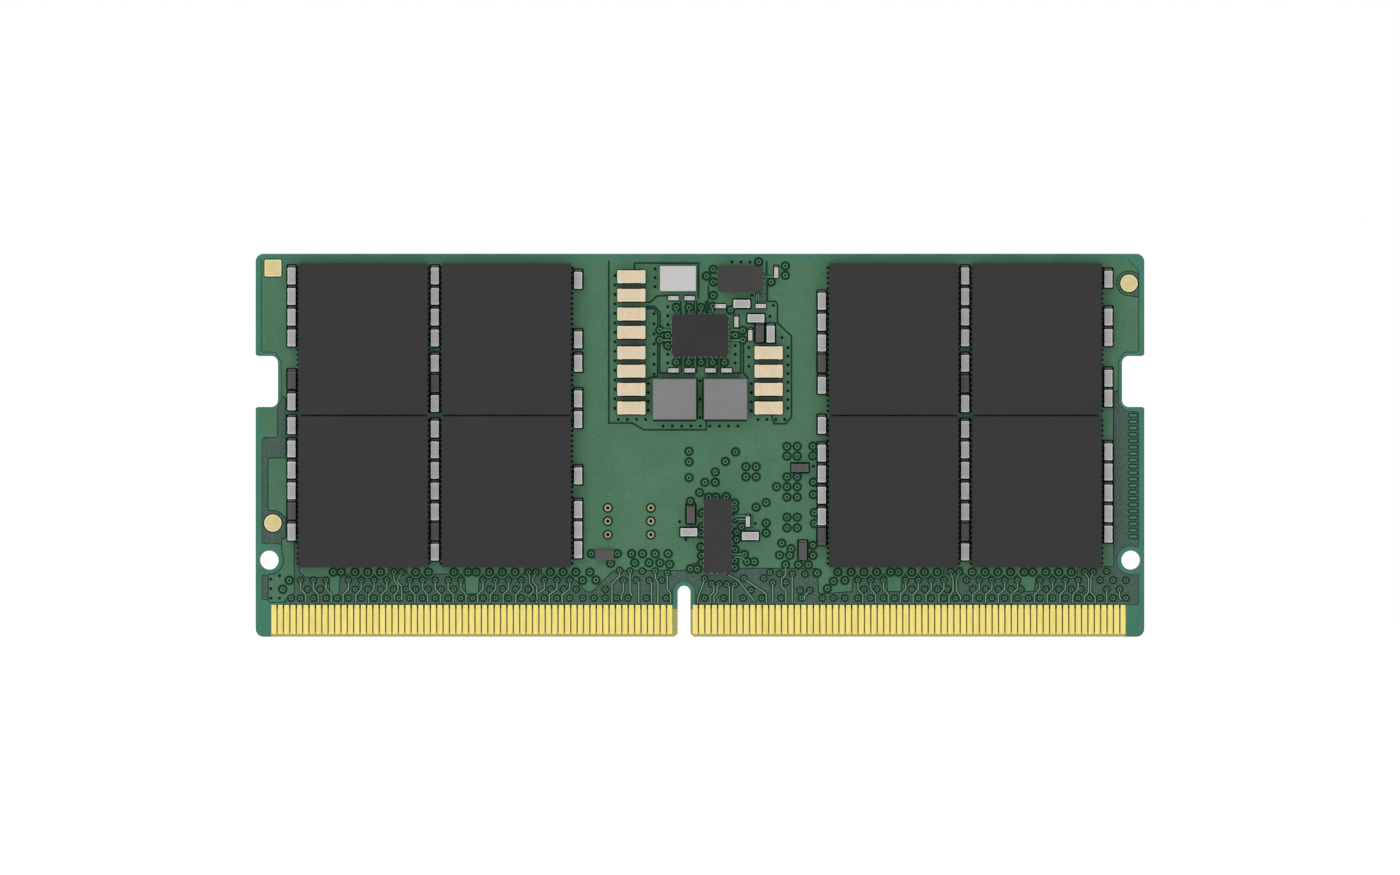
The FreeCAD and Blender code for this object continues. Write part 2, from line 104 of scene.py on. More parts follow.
def weaveGroup():
    # glass cloth under the resin: a plain weave from two crossing waves, broken up by noise
    group, start, end = makeGroup("glassWeave", [("Vector", "NodeSocketVector", None),
                                                 ("Threads", "NodeSocketFloat", 3.2),
                                                 ("Fineness", "NodeSocketFloat", 5.0)],
                                  ["Weave", "Height"])
    split = group.nodes.new("ShaderNodeSeparateXYZ")
    group.links.new(start.outputs["Vector"], split.inputs[0])
    turn = mathNode(group, "MULTIPLY", start.outputs["Threads"], 6.2832)
    across = mathNode(group, "SINE", mathNode(group, "MULTIPLY", split.outputs["X"], turn))
    up = mathNode(group, "SINE", mathNode(group, "MULTIPLY", split.outputs["Z"], turn))
    over = mathNode(group, "MULTIPLY", across, up)
    fine = noiseNode(group, start.outputs["Vector"], start.outputs["Fineness"], 3.0)
    fibres = contrast(group, fine, 2.6)
    thread = mathNode(group, "ADD", mathNode(group, "MULTIPLY", over, 0.22), 0.5)
    mixed = mathNode(group, "ADD", mathNode(group, "MULTIPLY", thread, 0.45),
                     mathNode(group, "MULTIPLY", fibres, 0.55))
    group.links.new(mixed, end.inputs["Weave"])
    group.links.new(mixed, end.inputs["Height"])
    return group


def streakGroup():
    # wear streaks that run down the length of a contact, and a slow change from contact to contact
    group, start, end = makeGroup("slideStreaks", [("Vector", "NodeSocketVector", None),
                                                   ("Fineness", "NodeSocketFloat", 7.0),
                                                   ("Stretch", "NodeSocketFloat", 0.08)],
                                  ["Streak", "Height"])
    squeeze = group.nodes.new("ShaderNodeCombineXYZ")
    squeeze.inputs[0].default_value = 1.0
    squeeze.inputs[1].default_value = 1.0
    group.links.new(start.outputs["Stretch"], squeeze.inputs[2])
    stretched = group.nodes.new("ShaderNodeVectorMath")
    stretched.operation = "MULTIPLY"
    group.links.new(start.outputs["Vector"], stretched.inputs[0])
    group.links.new(squeeze.outputs[0], stretched.inputs[1])
    fine = noiseNode(group, stretched.outputs[0], start.outputs["Fineness"], 2.0)
    group.links.new(contrast(group, fine, 2.4), end.inputs["Streak"])
    group.links.new(fine, end.inputs["Height"])
    return group


groups = {"grain": grainGroup(), "weave": weaveGroup(), "streak": streakGroup()}


def linear(colour):
    # a display colour out of 255 as the linear colour that a shader takes
    share = np.array(colour, float) / 255
    return tuple(np.where(share <= 0.04045, share / 12.92, ((share + 0.055) / 1.055) ** 2.4)) + (1.0,)


finishes = {}
looks = {
    # for each pattern its finishes: dark and light display colours, fineness of the noise, then mottle,
    # threads or stretch, all per mm, and roughness, gloss, metal, bump
    "grain": {
        "maskBorder": ((52, 107, 88), (66, 123, 100), 5.0, 0.5, 0.42, 0.25, 0, 0.03),
        "borderLine": ((28, 74, 54), (38, 88, 64), 5.0, 0.5, 0.45, 0.2, 0, 0.03),
        "copperPour": ((60, 104, 76), (79, 122, 94), 6.0, 0.35, 0.45, 0.25, 0, 0.04),
        "copperEdge": ((13, 46, 28), (26, 68, 43), 7.0, 0.6, 0.5, 0.1, 0, 0.03),
        # the next finish is near black: painted shade round small parts and beside packages, and the dark
        # clearance round each gold mark
        "partShade": ((3, 24, 12), (12, 44, 26), 7.0, 0.6, 0.6, 0.05, 0, 0),
        "trackCore": ((92, 130, 102), (118, 158, 126), 5.0, 0.5, 0.42, 0.3, 0, 0.03),
        "viaLand": ((68, 110, 82), (88, 132, 102), 5.0, 0.5, 0.42, 0.3, 0, 0.03),
        "viaHole": ((4, 20, 10), (14, 38, 22), 9.0, 0.5, 0.6, 0.05, 0, 0),
        "packageMould": ((50, 50, 50), (56, 56, 56), 14.0, 0.25, 0.72, 0.12, 0, 0.1),
        "chipMould": ((47, 47, 47), (56, 55, 55), 12.0, 0.4, 0.68, 0.14, 0, 0.1),
        "clockMould": ((52, 51, 51), (61, 60, 60), 12.0, 0.4, 0.68, 0.14, 0, 0.1),
        "hubMould": ((58, 58, 58), (67, 67, 66), 12.0, 0.4, 0.66, 0.16, 0, 0.1),
        "collarGold": ((146, 136, 92), (196, 186, 142), 6.0, 1.0, 0.42, 0.4, 0.3, 0.05),
        "gapLaminate": ((106, 96, 42), (128, 118, 56), 6.0, 0.8, 0.6, 0.15, 0, 0.05),
        "markGold": ((208, 192, 134), (223, 208, 150), 5.0, 1.0, 0.45, 0.5, 0.4, 0.06),
        # the next finish is a paler copy of the mark gold, painted as a highlight inside the marks' edges
        "markEdgeHighlight": ((230, 224, 170), (244, 238, 190), 5.0, 1.0, 0.42, 0.5, 0.3, 0.05),
        "packageSubstrate": ((40, 58, 44), (56, 78, 60), 7.0, 0.5, 0.55, 0.2, 0, 0.04),
        "siliconDie": ((70, 72, 80), (84, 86, 94), 8.0, 0.5, 0.3, 0.5, 0, 0),
        "solderMetal": ((96, 98, 92), (132, 134, 128), 9.0, 1.2, 0.38, 0.5, 0.6, 0.08),
        "solderApron": ((84, 84, 76), (112, 110, 98), 8.0, 1.2, 0.45, 0.4, 0.3, 0.1),
        "leadTin": ((140, 144, 140), (178, 182, 176), 9.0, 1.0, 0.36, 0.5, 0.7, 0.05),
        "padGold": ((196, 182, 116), (214, 200, 136), 6.0, 1.0, 0.42, 0.5, 0.5, 0.05),
        "capacitorCeramic": ((160, 157, 160), (174, 170, 173), 9.0, 0.8, 0.5, 0.3, 0, 0.08),
        "capacitorEnds": ((162, 161, 162), (178, 177, 178), 8.0, 1.2, 0.45, 0.4, 0.1, 0.1),
        # the next finish is a lighter copy of the ceramic and its ends, painted as a highlight on the
        # rounded edges
        "capacitorRim": ((192, 196, 192), (212, 216, 212), 8.0, 1.2, 0.42, 0.4, 0.1, 0.08),
        "smallCeramic": ((176, 176, 170), (192, 191, 186), 9.0, 0.8, 0.5, 0.3, 0, 0.06),
        "bulkCeramic": ((205, 187, 156), (226, 206, 174), 5.0, 0.8, 0.5, 0.3, 0, 0.06),
        "bulkEnds": ((206, 190, 160), (226, 210, 180), 6.0, 1.2, 0.45, 0.4, 0.1, 0.08),
        # the next finish is a lighter copy of the bulk ceramic, painted as a highlight on the rounded edges
        "bulkRim": ((216, 204, 176), (232, 222, 196), 6.0, 1.2, 0.45, 0.4, 0.1, 0.08),
        "resistorBody": ((74, 70, 72), (92, 86, 88), 9.0, 1.0, 0.5, 0.25, 0, 0.08),
        "resistorEnds": ((66, 70, 66), (96, 100, 94), 8.0, 1.2, 0.42, 0.4, 0.3, 0.1),
        "inductorCore": ((119, 119, 119), (130, 130, 130), 10.0, 0.5, 0.6, 0.2, 0, 0.1),
        "paleCore": ((186, 186, 186), (197, 197, 197), 9.0, 0.5, 0.55, 0.25, 0, 0.08),
        "windingCopper": ((150, 92, 58), (178, 112, 74), 6.0, 0.5, 0.4, 0.5, 0.8, 0.04),
    },
    "weave": {
        "bareLaminate": ((38, 59, 50), (86, 110, 100), 6.5, 3.4, 0.5, 0.2, 0, 0.12),
        "laminateEdge": ((150, 144, 80), (176, 168, 102), 6.0, 4.0, 0.7, 0.12, 0, 0.12),
    },
    "streak": {
        "contactGold": ((238, 213, 104), (254, 234, 134), 5.0, 0.1, 0.34, 0.5, 0.6, 0.05),
        # the next finish is a paler copy of the contact gold, painted as a highlight on the contacts'
        # rounded edges
        "contactEdgeHighlight": ((236, 226, 140), (248, 240, 168), 5.0, 0.1, 0.36, 0.5, 0.5, 0.04),
    },
}
patternSizes = {"grain": "Mottle", "weave": "Threads", "streak": "Stretch"}
finishDefaults = {"grainShare": 0.6, "smoother": 0.05, "rougher": 0.08, "bumpHeight": 0.02}


def makeFinish(name, patternName, look):
    # one Principled material: a group's pattern on Object coordinates mixes the two colours and lifts a bump
    dark, light, fineness, patternSize, rough, gloss, metal, lift = look
    material = bpy.data.materials.new(name)
    material.use_nodes = True
    tree = material.node_tree
    shader = tree.nodes["Principled BSDF"]
    coordinates = tree.nodes.new("ShaderNodeTexCoord")
    perMillimetre = tree.nodes.new("ShaderNodeMapping")
    perMillimetre.inputs["Scale"].default_value = (1 / mm, 1 / mm, 1 / mm)
    tree.links.new(coordinates.outputs["Object"], perMillimetre.inputs["Vector"])
    pattern = tree.nodes.new("ShaderNodeGroup")
    pattern.node_tree = groups[patternName]
    tree.links.new(perMillimetre.outputs[0], pattern.inputs["Vector"])
    pattern.inputs["Fineness"].default_value = fineness
    pattern.inputs[patternSizes[patternName]].default_value = patternSize
    mask = pattern.outputs[0]
    if patternName == "grain":
        share = finishDefaults["grainShare"]
        mask = mathNode(tree, "ADD", mathNode(tree, "MULTIPLY", mask, share),
                        mathNode(tree, "MULTIPLY", pattern.outputs["Patch"], 1 - share))
    mix = tree.nodes.new("ShaderNodeMix")
    mix.data_type = "RGBA"
    mix.inputs["A"].default_value = linear(dark)
    mix.inputs["B"].default_value = linear(light)
    tree.links.new(mask, mix.inputs["Factor"])
    tree.links.new(mix.outputs["Result"], shader.inputs["Base Color"])
    roughness = tree.nodes.new("ShaderNodeMapRange")
    roughness.inputs["To Min"].default_value = rough - finishDefaults["smoother"]
    roughness.inputs["To Max"].default_value = rough + finishDefaults["rougher"]
    tree.links.new(mask, roughness.inputs["Value"])
    tree.links.new(roughness.outputs[0], shader.inputs["Roughness"])
    shader.inputs["Specular IOR Level"].default_value = gloss
    shader.inputs["Metallic"].default_value = metal
    if lift:
        bump = tree.nodes.new("ShaderNodeBump")
        bump.inputs["Strength"].default_value = lift
        bump.inputs["Distance"].default_value = finishDefaults["bumpHeight"] * mm
        tree.links.new(pattern.outputs["Height"], bump.inputs["Height"])
        tree.links.new(bump.outputs["Normal"], shader.inputs["Normal"])
    finishes[name] = material


for patternName, rows in looks.items():
    for lookName, look in rows.items():
        makeFinish(lookName, patternName, look)
print("finishes", len(finishes))


def roundedRectangle(length, width, radius=0.0, steps=3):
    # outline of a rectangle about the origin, counter-clockwise, each corner a quarter circle
    if not radius:
        return np.array([(-1, -1), (1, -1), (1, 1), (-1, 1)]) * (length / 2, width / 2)
    angles = np.linspace(0, np.pi / 2, steps + 1)
    quarter = np.stack([np.cos(angles), np.sin(angles)], 1) * radius
    turns = [((1, 1), (1, 0, 0, 1)), ((-1, 1), (0, -1, 1, 0)),
             ((-1, -1), (-1, 0, 0, -1)), ((1, -1), (0, 1, -1, 0))]
    centre = np.array((length / 2 - radius, width / 2 - radius))
    return np.concatenate([quarter @ np.reshape(turn, (2, 2)).T + sign * centre for sign, turn in turns])


def circle(radius, steps=20):
    # outline of a circle about the origin: radius times cosine and sine of the angle
    angles = np.arange(steps) * 2 * np.pi / steps
    return np.stack([np.cos(angles), np.sin(angles)], 1) * radius


def alongPath(path, width):
    # outline of a strip: the path moved half the width to its right, then back along its left
    path = np.array(path, float)
    run = np.diff(path, axis=0)
    run /= np.linalg.norm(run, axis=1, keepdims=True)
    left = np.stack([-run[:, 1], run[:, 0]], 1)
    before = np.concatenate([left[:1], left])
    after = np.concatenate([left, left[-1:]])
    mitre = (before + after) / (1 + (before * after).sum(1, keepdims=True)) * (width / 2)
    return np.concatenate([path - mitre, (path + mitre)[::-1]])


def rounded(corners, radius=0.12, steps=3):
    # outline through the corners, each one replaced by the parabola that leaves its two edges at the radius
    corners = np.array(corners, float)
    before = np.roll(corners, 1, 0) - corners
    after = np.roll(corners, -1, 0) - corners
    beforeLength, afterLength = (np.linalg.norm(run, axis=1, keepdims=True) for run in (before, after))
    reach = np.minimum(radius, 0.45 * np.minimum(beforeLength, afterLength))
    start = (corners + before / beforeLength * reach)[:, None]
    end = (corners + after / afterLength * reach)[:, None]
    share = np.linspace(0, 1, steps + 1)[None, :, None]
    curve = (1 - share) ** 2 * start + 2 * share * (1 - share) * corners[:, None] + share ** 2 * end
    return curve.reshape(-1, 2)


def arc(x, z, radius, first, last, steps=10):
    # points on a circle about (x, z) from the first angle to the last, in degrees
    angles = np.radians(np.linspace(first, last, steps + 1))
    return np.stack([x + radius * np.cos(angles), z + radius * np.sin(angles)], 1)


def carry(outline, profile, finishOf, places=((0, 0),), side=1, foot=False, rise=0.0):
    # A profile carried round an outline at every place: each profile row is the outline moved outwards by an
    # offset, at a distance from the card's mid-plane plus the place's rise. finishOf gives one finish for
    # each band between rows, or one for each edge of the band, then the cap's. A foot closes the first row.
    outline = np.array(outline, float)
    profile = np.array(profile, float)
    places = np.array(places, float).reshape(-1, 2)
    count, rows, copies = len(outline), len(profile), len(places)
    run = np.roll(outline, -1, 0) - outline
    run /= np.linalg.norm(run, axis=1, keepdims=True)
    out = np.stack([run[:, 1], -run[:, 0]], 1)
    before = np.roll(out, 1, 0)
    mitre = (out + before) / (1 + (out * before).sum(1, keepdims=True))
    flat = outline[None] + profile[:, 0, None, None] * mitre[None]          # (row, corner, xz)
    points = np.empty((copies, rows, count, 3))
    points[..., 0] = flat[None, ..., 0] + places[:, None, None, 0]
    points[..., 1] = -side * (profile[None, :, 1, None] + np.broadcast_to(rise, copies)[:, None, None])
    points[..., 2] = flat[None, ..., 1] + places[:, None, None, 1]
    number = np.arange(copies * rows * count).reshape(copies, rows, count)
    following = np.roll(number, -1, 2)
    quads = np.stack([number[:, :-1], following[:, :-1], following[:, 1:], number[:, 1:]], -1)
    bandFinish = np.stack([np.broadcast_to(finish, count) for finish in finishOf[:rows - 1]])
    faces = [(quads.reshape(-1, 4), np.broadcast_to(bandFinish, quads.shape[:3]).ravel()),
             (number[:, -1], np.full(copies, finishOf[-1]))]
    if foot:
        faces.append((number[:, 0, ::-1], np.full(copies, finishOf[0])))
    if side < 0:
        faces = [(corners[:, ::-1], finish) for corners, finish in faces]
    return points.reshape(-1, 3), faces


def makePiece(name, parts, finishNames, replaced=()):
    # one object from carried parts, in metres, riding on the card
    points, faceLists, finishLists, offset = [], [], [], 0
    for partPoints, partFaces in parts:
        points.append(partPoints)
        for corners, finish in partFaces:
            faceLists += (corners + offset).tolist()
            finishLists.append(finish)
        offset += len(partPoints)
    mesh = bpy.data.meshes.new(name)
    mesh.from_pydata((np.concatenate(points) * mm).tolist(), [], faceLists)
    for finishName in finishNames:
        mesh.materials.append(finishes[finishName])
    mesh.polygons.foreach_set("material_index", np.concatenate(finishLists).astype(np.int32))
    mesh.update()
    piece = bpy.data.objects.new(name, mesh)
    bpy.context.scene.collection.objects.link(piece)
    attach(piece, "root")
    if replaced:
        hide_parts(*replaced)


def solidBoxes(node):
    # Lowest and highest corner of each separate solid of a CAD node, in mm. Every point starts with its own
    # number, the smallest number spreads along the triangles, and points that share a number are one solid.
    mesh = nodes[node].data
    points = np.zeros(len(mesh.vertices) * 3, np.float32)
    mesh.vertices.foreach_get("co", points)
    corners = np.zeros(len(mesh.loops), np.int32)
    mesh.loops.foreach_get("vertex_index", corners)
    points, same = np.unique(np.round(points.reshape(-1, 3) / mm, 3), axis=0, return_inverse=True)
    triangles = same.ravel()[corners].reshape(-1, 3)
    label = np.arange(len(points))
    while True:
        spread = label.copy()
        np.minimum.at(spread, triangles.ravel(), np.repeat(label[triangles].min(1), 3))
        if (spread == label).all():
            break
        label = spread
    names, group = np.unique(label, return_inverse=True)
    low = np.full((len(names), 3), np.inf)
    high = np.full((len(names), 3), -np.inf)
    np.minimum.at(low, group.ravel(), points)
    np.maximum.at(high, group.ravel(), points)
    return np.stack([low, high], 1)


def footprints(bodyNode, endNode, reach=0.03):
    # the box of each part, which is its body and the ends that touch it, and each end's way from its body
    bodies, ends = solidBoxes(bodyNode), solidBoxes(endNode)
    above = bodies[:, None, 0] < ends[None, :, 1] + reach
    touch = (above & (ends[None, :, 0] < bodies[:, None, 1] + reach)).all(2)
    low = np.where(touch[..., None], ends[None, :, 0], np.inf).min(1)
    high = np.where(touch[..., None], ends[None, :, 1], -np.inf).max(1)
    boxes = np.stack([np.minimum(bodies[:, 0], low), np.maximum(bodies[:, 1], high)], 1)
    away = np.sign(np.round(ends.mean(1) - bodies[touch.argmax(0)].mean(1), 1))[:, [0, 2]]
    return boxes, away


cornerSpare = 0.004


def blocksFor(boxes, corner, edge, steps=2, highlightWidth=0.0, away=None):
    # Blocks with rounded upright corners and a rounded face edge, one for each box. Boxes of one size, side
    # and direction are worked out together: a rounded rectangle carried up the side and round a quarter
    # circle to the face. Given a highlight width, the rounded edge and a band that wide inside it take the
    # second finish, a painted highlight, but not on the edge that faces the body. The corner is wide enough
    # for the rows inside it to stay in order.
    parts = []
    corner = max(corner, edge + highlightWidth + cornerSpare)
    away = np.zeros((len(boxes), 2)) if away is None else away
    side = np.where(boxes.mean(1)[:, 1] < 0, 1, -1)
    keys, which = np.unique(np.column_stack([np.round(boxes[:, 1] - boxes[:, 0], 2), side, away]), axis=0,
                            return_inverse=True)
    for number, key in enumerate(keys):
        chosen = boxes[which.ravel() == number]
        length, width = (chosen[0, 1] - chosen[0, 0])[[0, 2]]
        level = np.abs(chosen[0, :, 1])
        bend = np.linspace(0, np.pi / 2, steps + 1)
        profile = [(0, level.min())]
        profile += [(-edge * (1 - np.cos(turn)), level.max() - edge * (1 - np.sin(turn))) for turn in bend]
        outline = roundedRectangle(length, width, corner, steps)
        way = key[4:]
        inward = ((outline + np.roll(outline, -1, 0)) / 2) @ -way - np.abs(way) @ (length / 2, width / 2)
        highlightFinish = np.where(inward > -corner, 0, 1) if way.any() else 1
        bands = [0] + [highlightFinish if highlightWidth else 0] * steps
        if highlightWidth:
            profile.append((-edge - highlightWidth, level.max()))
            bands.append(highlightFinish)
        places = chosen.mean(1)[:, [0, 2]]
        parts.append(carry(outline, profile, bands + [0], places, int(key[3]), foot=True))
    return parts


def nodeBlocks(name, node, finishName, slot, corner, edge, highlightName=None, highlightWidth=0.0, away=None, steps=2):
    parts = blocksFor(solidBoxes(node), corner, edge, steps, highlightWidth, away)
    makePiece(name, parts, [finishName, highlightName or finishName], [node])


chipParts = {
    # each kind: name in the CAD nodes, finish and slot of the body and of the ends, the finish painted as a
    # highlight on the rounded edge, corner and edge radius, and the width of the painted shade round it
    "capacitor": {"nodes": "capacitor_{}_{}", "sides": ("front", "back"),
                  "body": ("capacitorCeramic", "capacitor_ceramic"),
                  "ends": ("capacitorEnds", "capacitor_plating"), "edgeHighlight": "capacitorRim", "edge": 0.03,
                  "margin": 0.1},
    "resistor": {"nodes": "resistor_{}_{}", "sides": ("front", "back"),
                 "body": ("resistorBody", "resistor_body"),
                 "ends": ("resistorEnds", "resistor_plating"), "edgeHighlight": "resistorEnds", "edge": 0.02,
                 "margin": 0.1},
    "smallCapacitor": {"nodes": "small_capacitor_{}", "sides": ("front",),
                       "body": ("smallCeramic", "capacitor_ceramic"),
                       "ends": ("capacitorEnds", "capacitor_plating"), "edgeHighlight": "capacitorRim", "edge": 0.02,
                       "margin": 0.06},
    "bulkCapacitor": {"nodes": "bulk_capacitor_{}", "sides": ("front",),
                      "body": ("bulkCeramic", "bulk_ceramic"),
                      "ends": ("bulkEnds", "bulk_plating"), "edgeHighlight": "bulkRim", "edge": 0.04, "margin": 0.05},
}
# width of the band of painted highlight inside the rounded edge of each small part
partHighlightWidth = 0.03
partBoxes = {"front": [], "back": []}
for kind, part in chipParts.items():
    for side in part["sides"]:
        bodyNode, endNode = (part["nodes"].format(what, side) for what in ("bodies", "terminals"))
        boxes, away = footprints(bodyNode, endNode)
        partBoxes[side].append((boxes, part["margin"]))
        label = kind + ("Back" if side == "back" else "Front")
        radii = (part["edge"], part["edge"])
        nodeBlocks(label + "Bodies", bodyNode, *part["body"], *radii, part["edgeHighlight"], partHighlightWidth)
        nodeBlocks(label + "Ends", endNode, *part["ends"], *radii, part["edgeHighlight"], partHighlightWidth, away)

blockTable = [
    # piece, CAD node, finish, slot, corner radius, edge radius
    ("resistorArrayBody", "resistor_array_body", "resistorBody", "resistor_body", 0.03, 0.03),
    ("resistorArrayEnds", "resistor_array_terminals", "resistorEnds", "resistor_plating", 0.03, 0.03),
    ("powerInductorCores", "power_inductor_cores", "inductorCore", "inductor_core", 0.06, 0.07),
    ("smallInductorCore", "small_inductor_core", "paleCore", "pale_core", 0.06, 0.08),
    ("powerChipMould", "power_chip_mould", "chipMould", "chip_mould", 0.33, 0.04),
    ("hubChipMould", "hub_chip_mould", "hubMould", "chip_mould", 0.25, 0.04),
    ("clockChipMould", "clock_chip_mould", "clockMould", "chip_mould", 0.12, 0.04),
]
for name, node, finishName, slot, corner, edge in blockTable:
    nodeBlocks(name, node, finishName, slot, corner, edge)
package = {"count": 8, "corner": 0.06, "edge": 0.05}
# edge contacts: corner and edge radius, and the width of the band of painted highlight inside the rounded
# edge
contact = {"corner": 0.03, "edge": 0.012, "edgeHighlight": 0.03}
for side in sides:
    for number in range(1, package["count"] + 1):
        nodeBlocks(f"packageMould_{side}_{number}", f"memory_mould_{side}_{number}", "packageMould",
                   "package_mould", package["corner"], package["edge"], steps=3)
    nodeBlocks(f"edgeContacts_{side}", f"edge_contacts_{side}", "contactGold", "contact_gold",
               contact["corner"], contact["edge"], "contactEdgeHighlight", contact["edgeHighlight"])
print("soldered parts made")

# What lies on the mask, in levels. Each plate of a level is a step higher than the last, so that a later
# plate covers an earlier one and no two faces are in one plane.
levels = {
    # level: height above the mask, piece, finishes, slot
    "valley": (-0.024, "contactGaps", ["gapLaminate"], "laminate"),
    "bare": (0.004, "bareLaminate", ["copperEdge", "bareLaminate"], "solder_mask"),
    "pour": (0.013, "copperPour", ["borderLine", "maskBorder", "copperEdge", "copperPour"], "solder_mask"),
    "window": (0.021, "pourWindows", ["copperEdge", "bareLaminate"], "solder_mask"),
    # painted shade round small parts and beside packages, with the solder strips and the gold marks' dark
    # clearances
    "shade": (0.030, "paintedShadeAndSolder", ["partShade", "solderApron"], "solder_mask"),
    "gap": (0.038, "copperGaps", ["copperEdge"], "solder_mask"),
    "ring": (0.045, "viaClearances", ["copperEdge"], "solder_mask"),
    "track": (0.052, "tracks", ["copperEdge", "trackCore"], "solder_mask"),
    "land": (0.059, "viaLands", ["copperEdge", "viaLand", "viaHole"], "solder_mask"),
    "mark": (0.066, "goldMarks", ["markEdgeHighlight", "markGold", "collarGold", "viaHole"], "pad_gold"),
}
plateStep, plateSteps, placeSteps = 0.0007, 8, 6        # height of a step, steps before it starts again
edgeDrop = 0.0025


def plate(layer, outline, finishOf, places=((0, 0),), edge=0.085, rows=()):
    # A low plate: the outline moved out by the edge width at its foot, then the outline itself, then any
    # further rows given as offsets, then its cap. Neighbouring places differ a little in height.
    height = layer["height"] + plateStep * (len(layer["parts"]) % plateSteps)
    places = np.reshape(places, (-1, 2))
    profile = [(edge, height - edgeDrop), (0, height)] + [(offset, height) for offset in rows]
    layer["parts"].append(carry(outline, profile, finishOf, places, layer["side"],
                                rise=plateStep * (np.arange(len(places)) % placeSteps)))


def box2(left, low, right, top, radius=0.0):
    outline = roundedRectangle(right - left, top - low, radius)
    return outline + ((left + right) / 2, (low + top) / 2)


def rowOf(runs):
    # x of every via in a row given as (first, count) runs one millimetre apart
    return np.concatenate([first + np.arange(count) for first, count in runs])


# the card's details: heights and widths between contacts, clearances of the alignment holes and the slot
gaps = {"low": 0.36, "middle": 2.3, "lap": 0.08, "top": 2.52, "width": 0.12}
hole = {"x": 33.75, "z": 6.0, "clear": 1.17}
keySlot = {"x": -1.25, "z": 3.5, "clear": 0.9}

pour = {
    # corners of the copper's outline from its lower right, up round the card and down on its left
    "outside": [
        np.array([(31.4, 5.56), (32.36, 5.56), (32.36, 19.2), (32.72, 19.3), (32.72, 21.55), (33.2, 22.33),
                  (34.3, 22.35), (34.3, 28.66), (33.4, 29.6), (-34.3, 29.6), (-34.3, 22.33), (-33.24, 22.33),
                  (-32.73, 21.5), (-32.73, 18.82), (-32.41, 18.76), (-32.41, 13.97), (-33.79, 13.97),
                  (-33.79, 9.94)]),
        arc(-33.46, 8.91, 1.03, 100, 32),
        np.array([(-32.41, 9.4), (-32.41, 7.68), (-32.72, 7.68)]),
        arc(-hole["x"], hole["z"], hole["clear"], 26, -80),
        np.array([(-33.79, 4.86), (-33.79, 2.75), (-32.6, 2.75), (-32.3, 3.2), (-31.82, 3.42),
                  (-31.82, 7.45), (-31.38, 7.45)])],
    # the lower edge from left to right; it bulges round vias where it lies at the height bulgeAt
    "lower": [(-31.33, 5.1), (-30.87, 4.7), (-29.02, 4.7), (-29.0, 3.2), (-28.26, 3.2), (-28.24, 5.5),
              (-27.74, 5.5), (-27.72, 4.95), (-24.42, 4.95), (-24.4, 5.5), (-22.94, 5.5), (-22.92, 4.95),
              (-18.36, 4.95), (-18.34, 3.42), (-17.38, 3.42), (-17.36, 4.95), (-13.82, 4.95), (-13.8, 5.5),
              (-12.42, 5.5), (-12.4, 4.95), (-10.2, 4.95), (-8.88, 3.55), (-8.5, 3.55), (-6.8, 5.24),
              (-1.1, 5.24), (-0.75, 5.7), (0.0, 5.95), (0.3, 6.4), (3.03, 6.4), (3.05, 5.41), (9.26, 5.41),
              (9.28, 3.45), (10.2, 3.45), (11.9, 3.58), (11.92, 4.95), (14.7, 4.95), (14.72, 3.58),
              (15.72, 3.58), (15.74, 4.95), (19.03, 4.95), (19.05, 5.5), (20.6, 5.5), (20.62, 4.95),
              (24.9, 4.95), (25.28, 3.6), (26.2, 3.6), (26.22, 4.95), (29.53, 4.95), (29.55, 5.5),
              (31.35, 5.5)],
    "top": 29.45, "ends": 32.6, "endsFrom": 20,
    "bulgeAt": 4.95, "bulgeMiddle": 5.07, "bulge": 0.47, "pitch": 0.07,
}
bare = {
    # woven laminate without copper: left and right of the key slot, and beside the left columns of parts
    "areas": [
        [np.array([(-32.6, 2.55), (-2.15, 2.55)]),
         arc(keySlot["x"], keySlot["z"], keySlot["clear"], 180, 92),
         np.array([(-1.28, 5.8), (-31.3, 5.8), (-31.3, 7.55), (-31.9, 7.55), (-31.9, 3.3)])],
        [np.array([(-0.35, 2.55), (34.35, 2.55), (34.35, 4.9)]),
         arc(hole["x"], hole["z"], hole["clear"], -68, -300),
         np.array([(34.33, 17.62), (33.3, 17.66), (32.76, 18.25), (32.76, 19.25), (32.3, 19.25), (32.3, 5.8),
                   (-1.22, 5.8)]),
         arc(keySlot["x"], keySlot["z"], keySlot["clear"], 88, 0)],
        [np.array([(-34.27, 7.32), (-33.0, 7.32), (-32.4, 7.0), (-32.4, 18.75), (-32.66, 18.75),
                   (-33.05, 17.98), (-33.07, 15.95), (-33.3, 15.62), (-34.27, 15.5)])],
        [box2(-34.27, 2.95, -33.85, 4.82)],
    ],
    "blocks": [(-34.3, 15.65, -33.12, 17.7), (31.42, 15.4, 32.34, 18.02)],          # copper left and right
    "windows": [
        # bare strips inside the power supply's copper, as (left, low, right, top)
        *[(-6.46, low, -4.26, low + 0.42) for low in (27.26, 24.35, 22.83, 21.31, 19.88, 18.44)],
        *[(4.28, low, 6.46, low + 0.42) for low in (21.31, 19.88, 18.44)],
        (-3.1, 20.3, -0.4, 20.58), (0.4, 20.3, 3.1, 20.58), (4.7, 26.25, 5.2, 26.9),
        (3.35, 8.55, 4.15, 9.55),
    ],
}
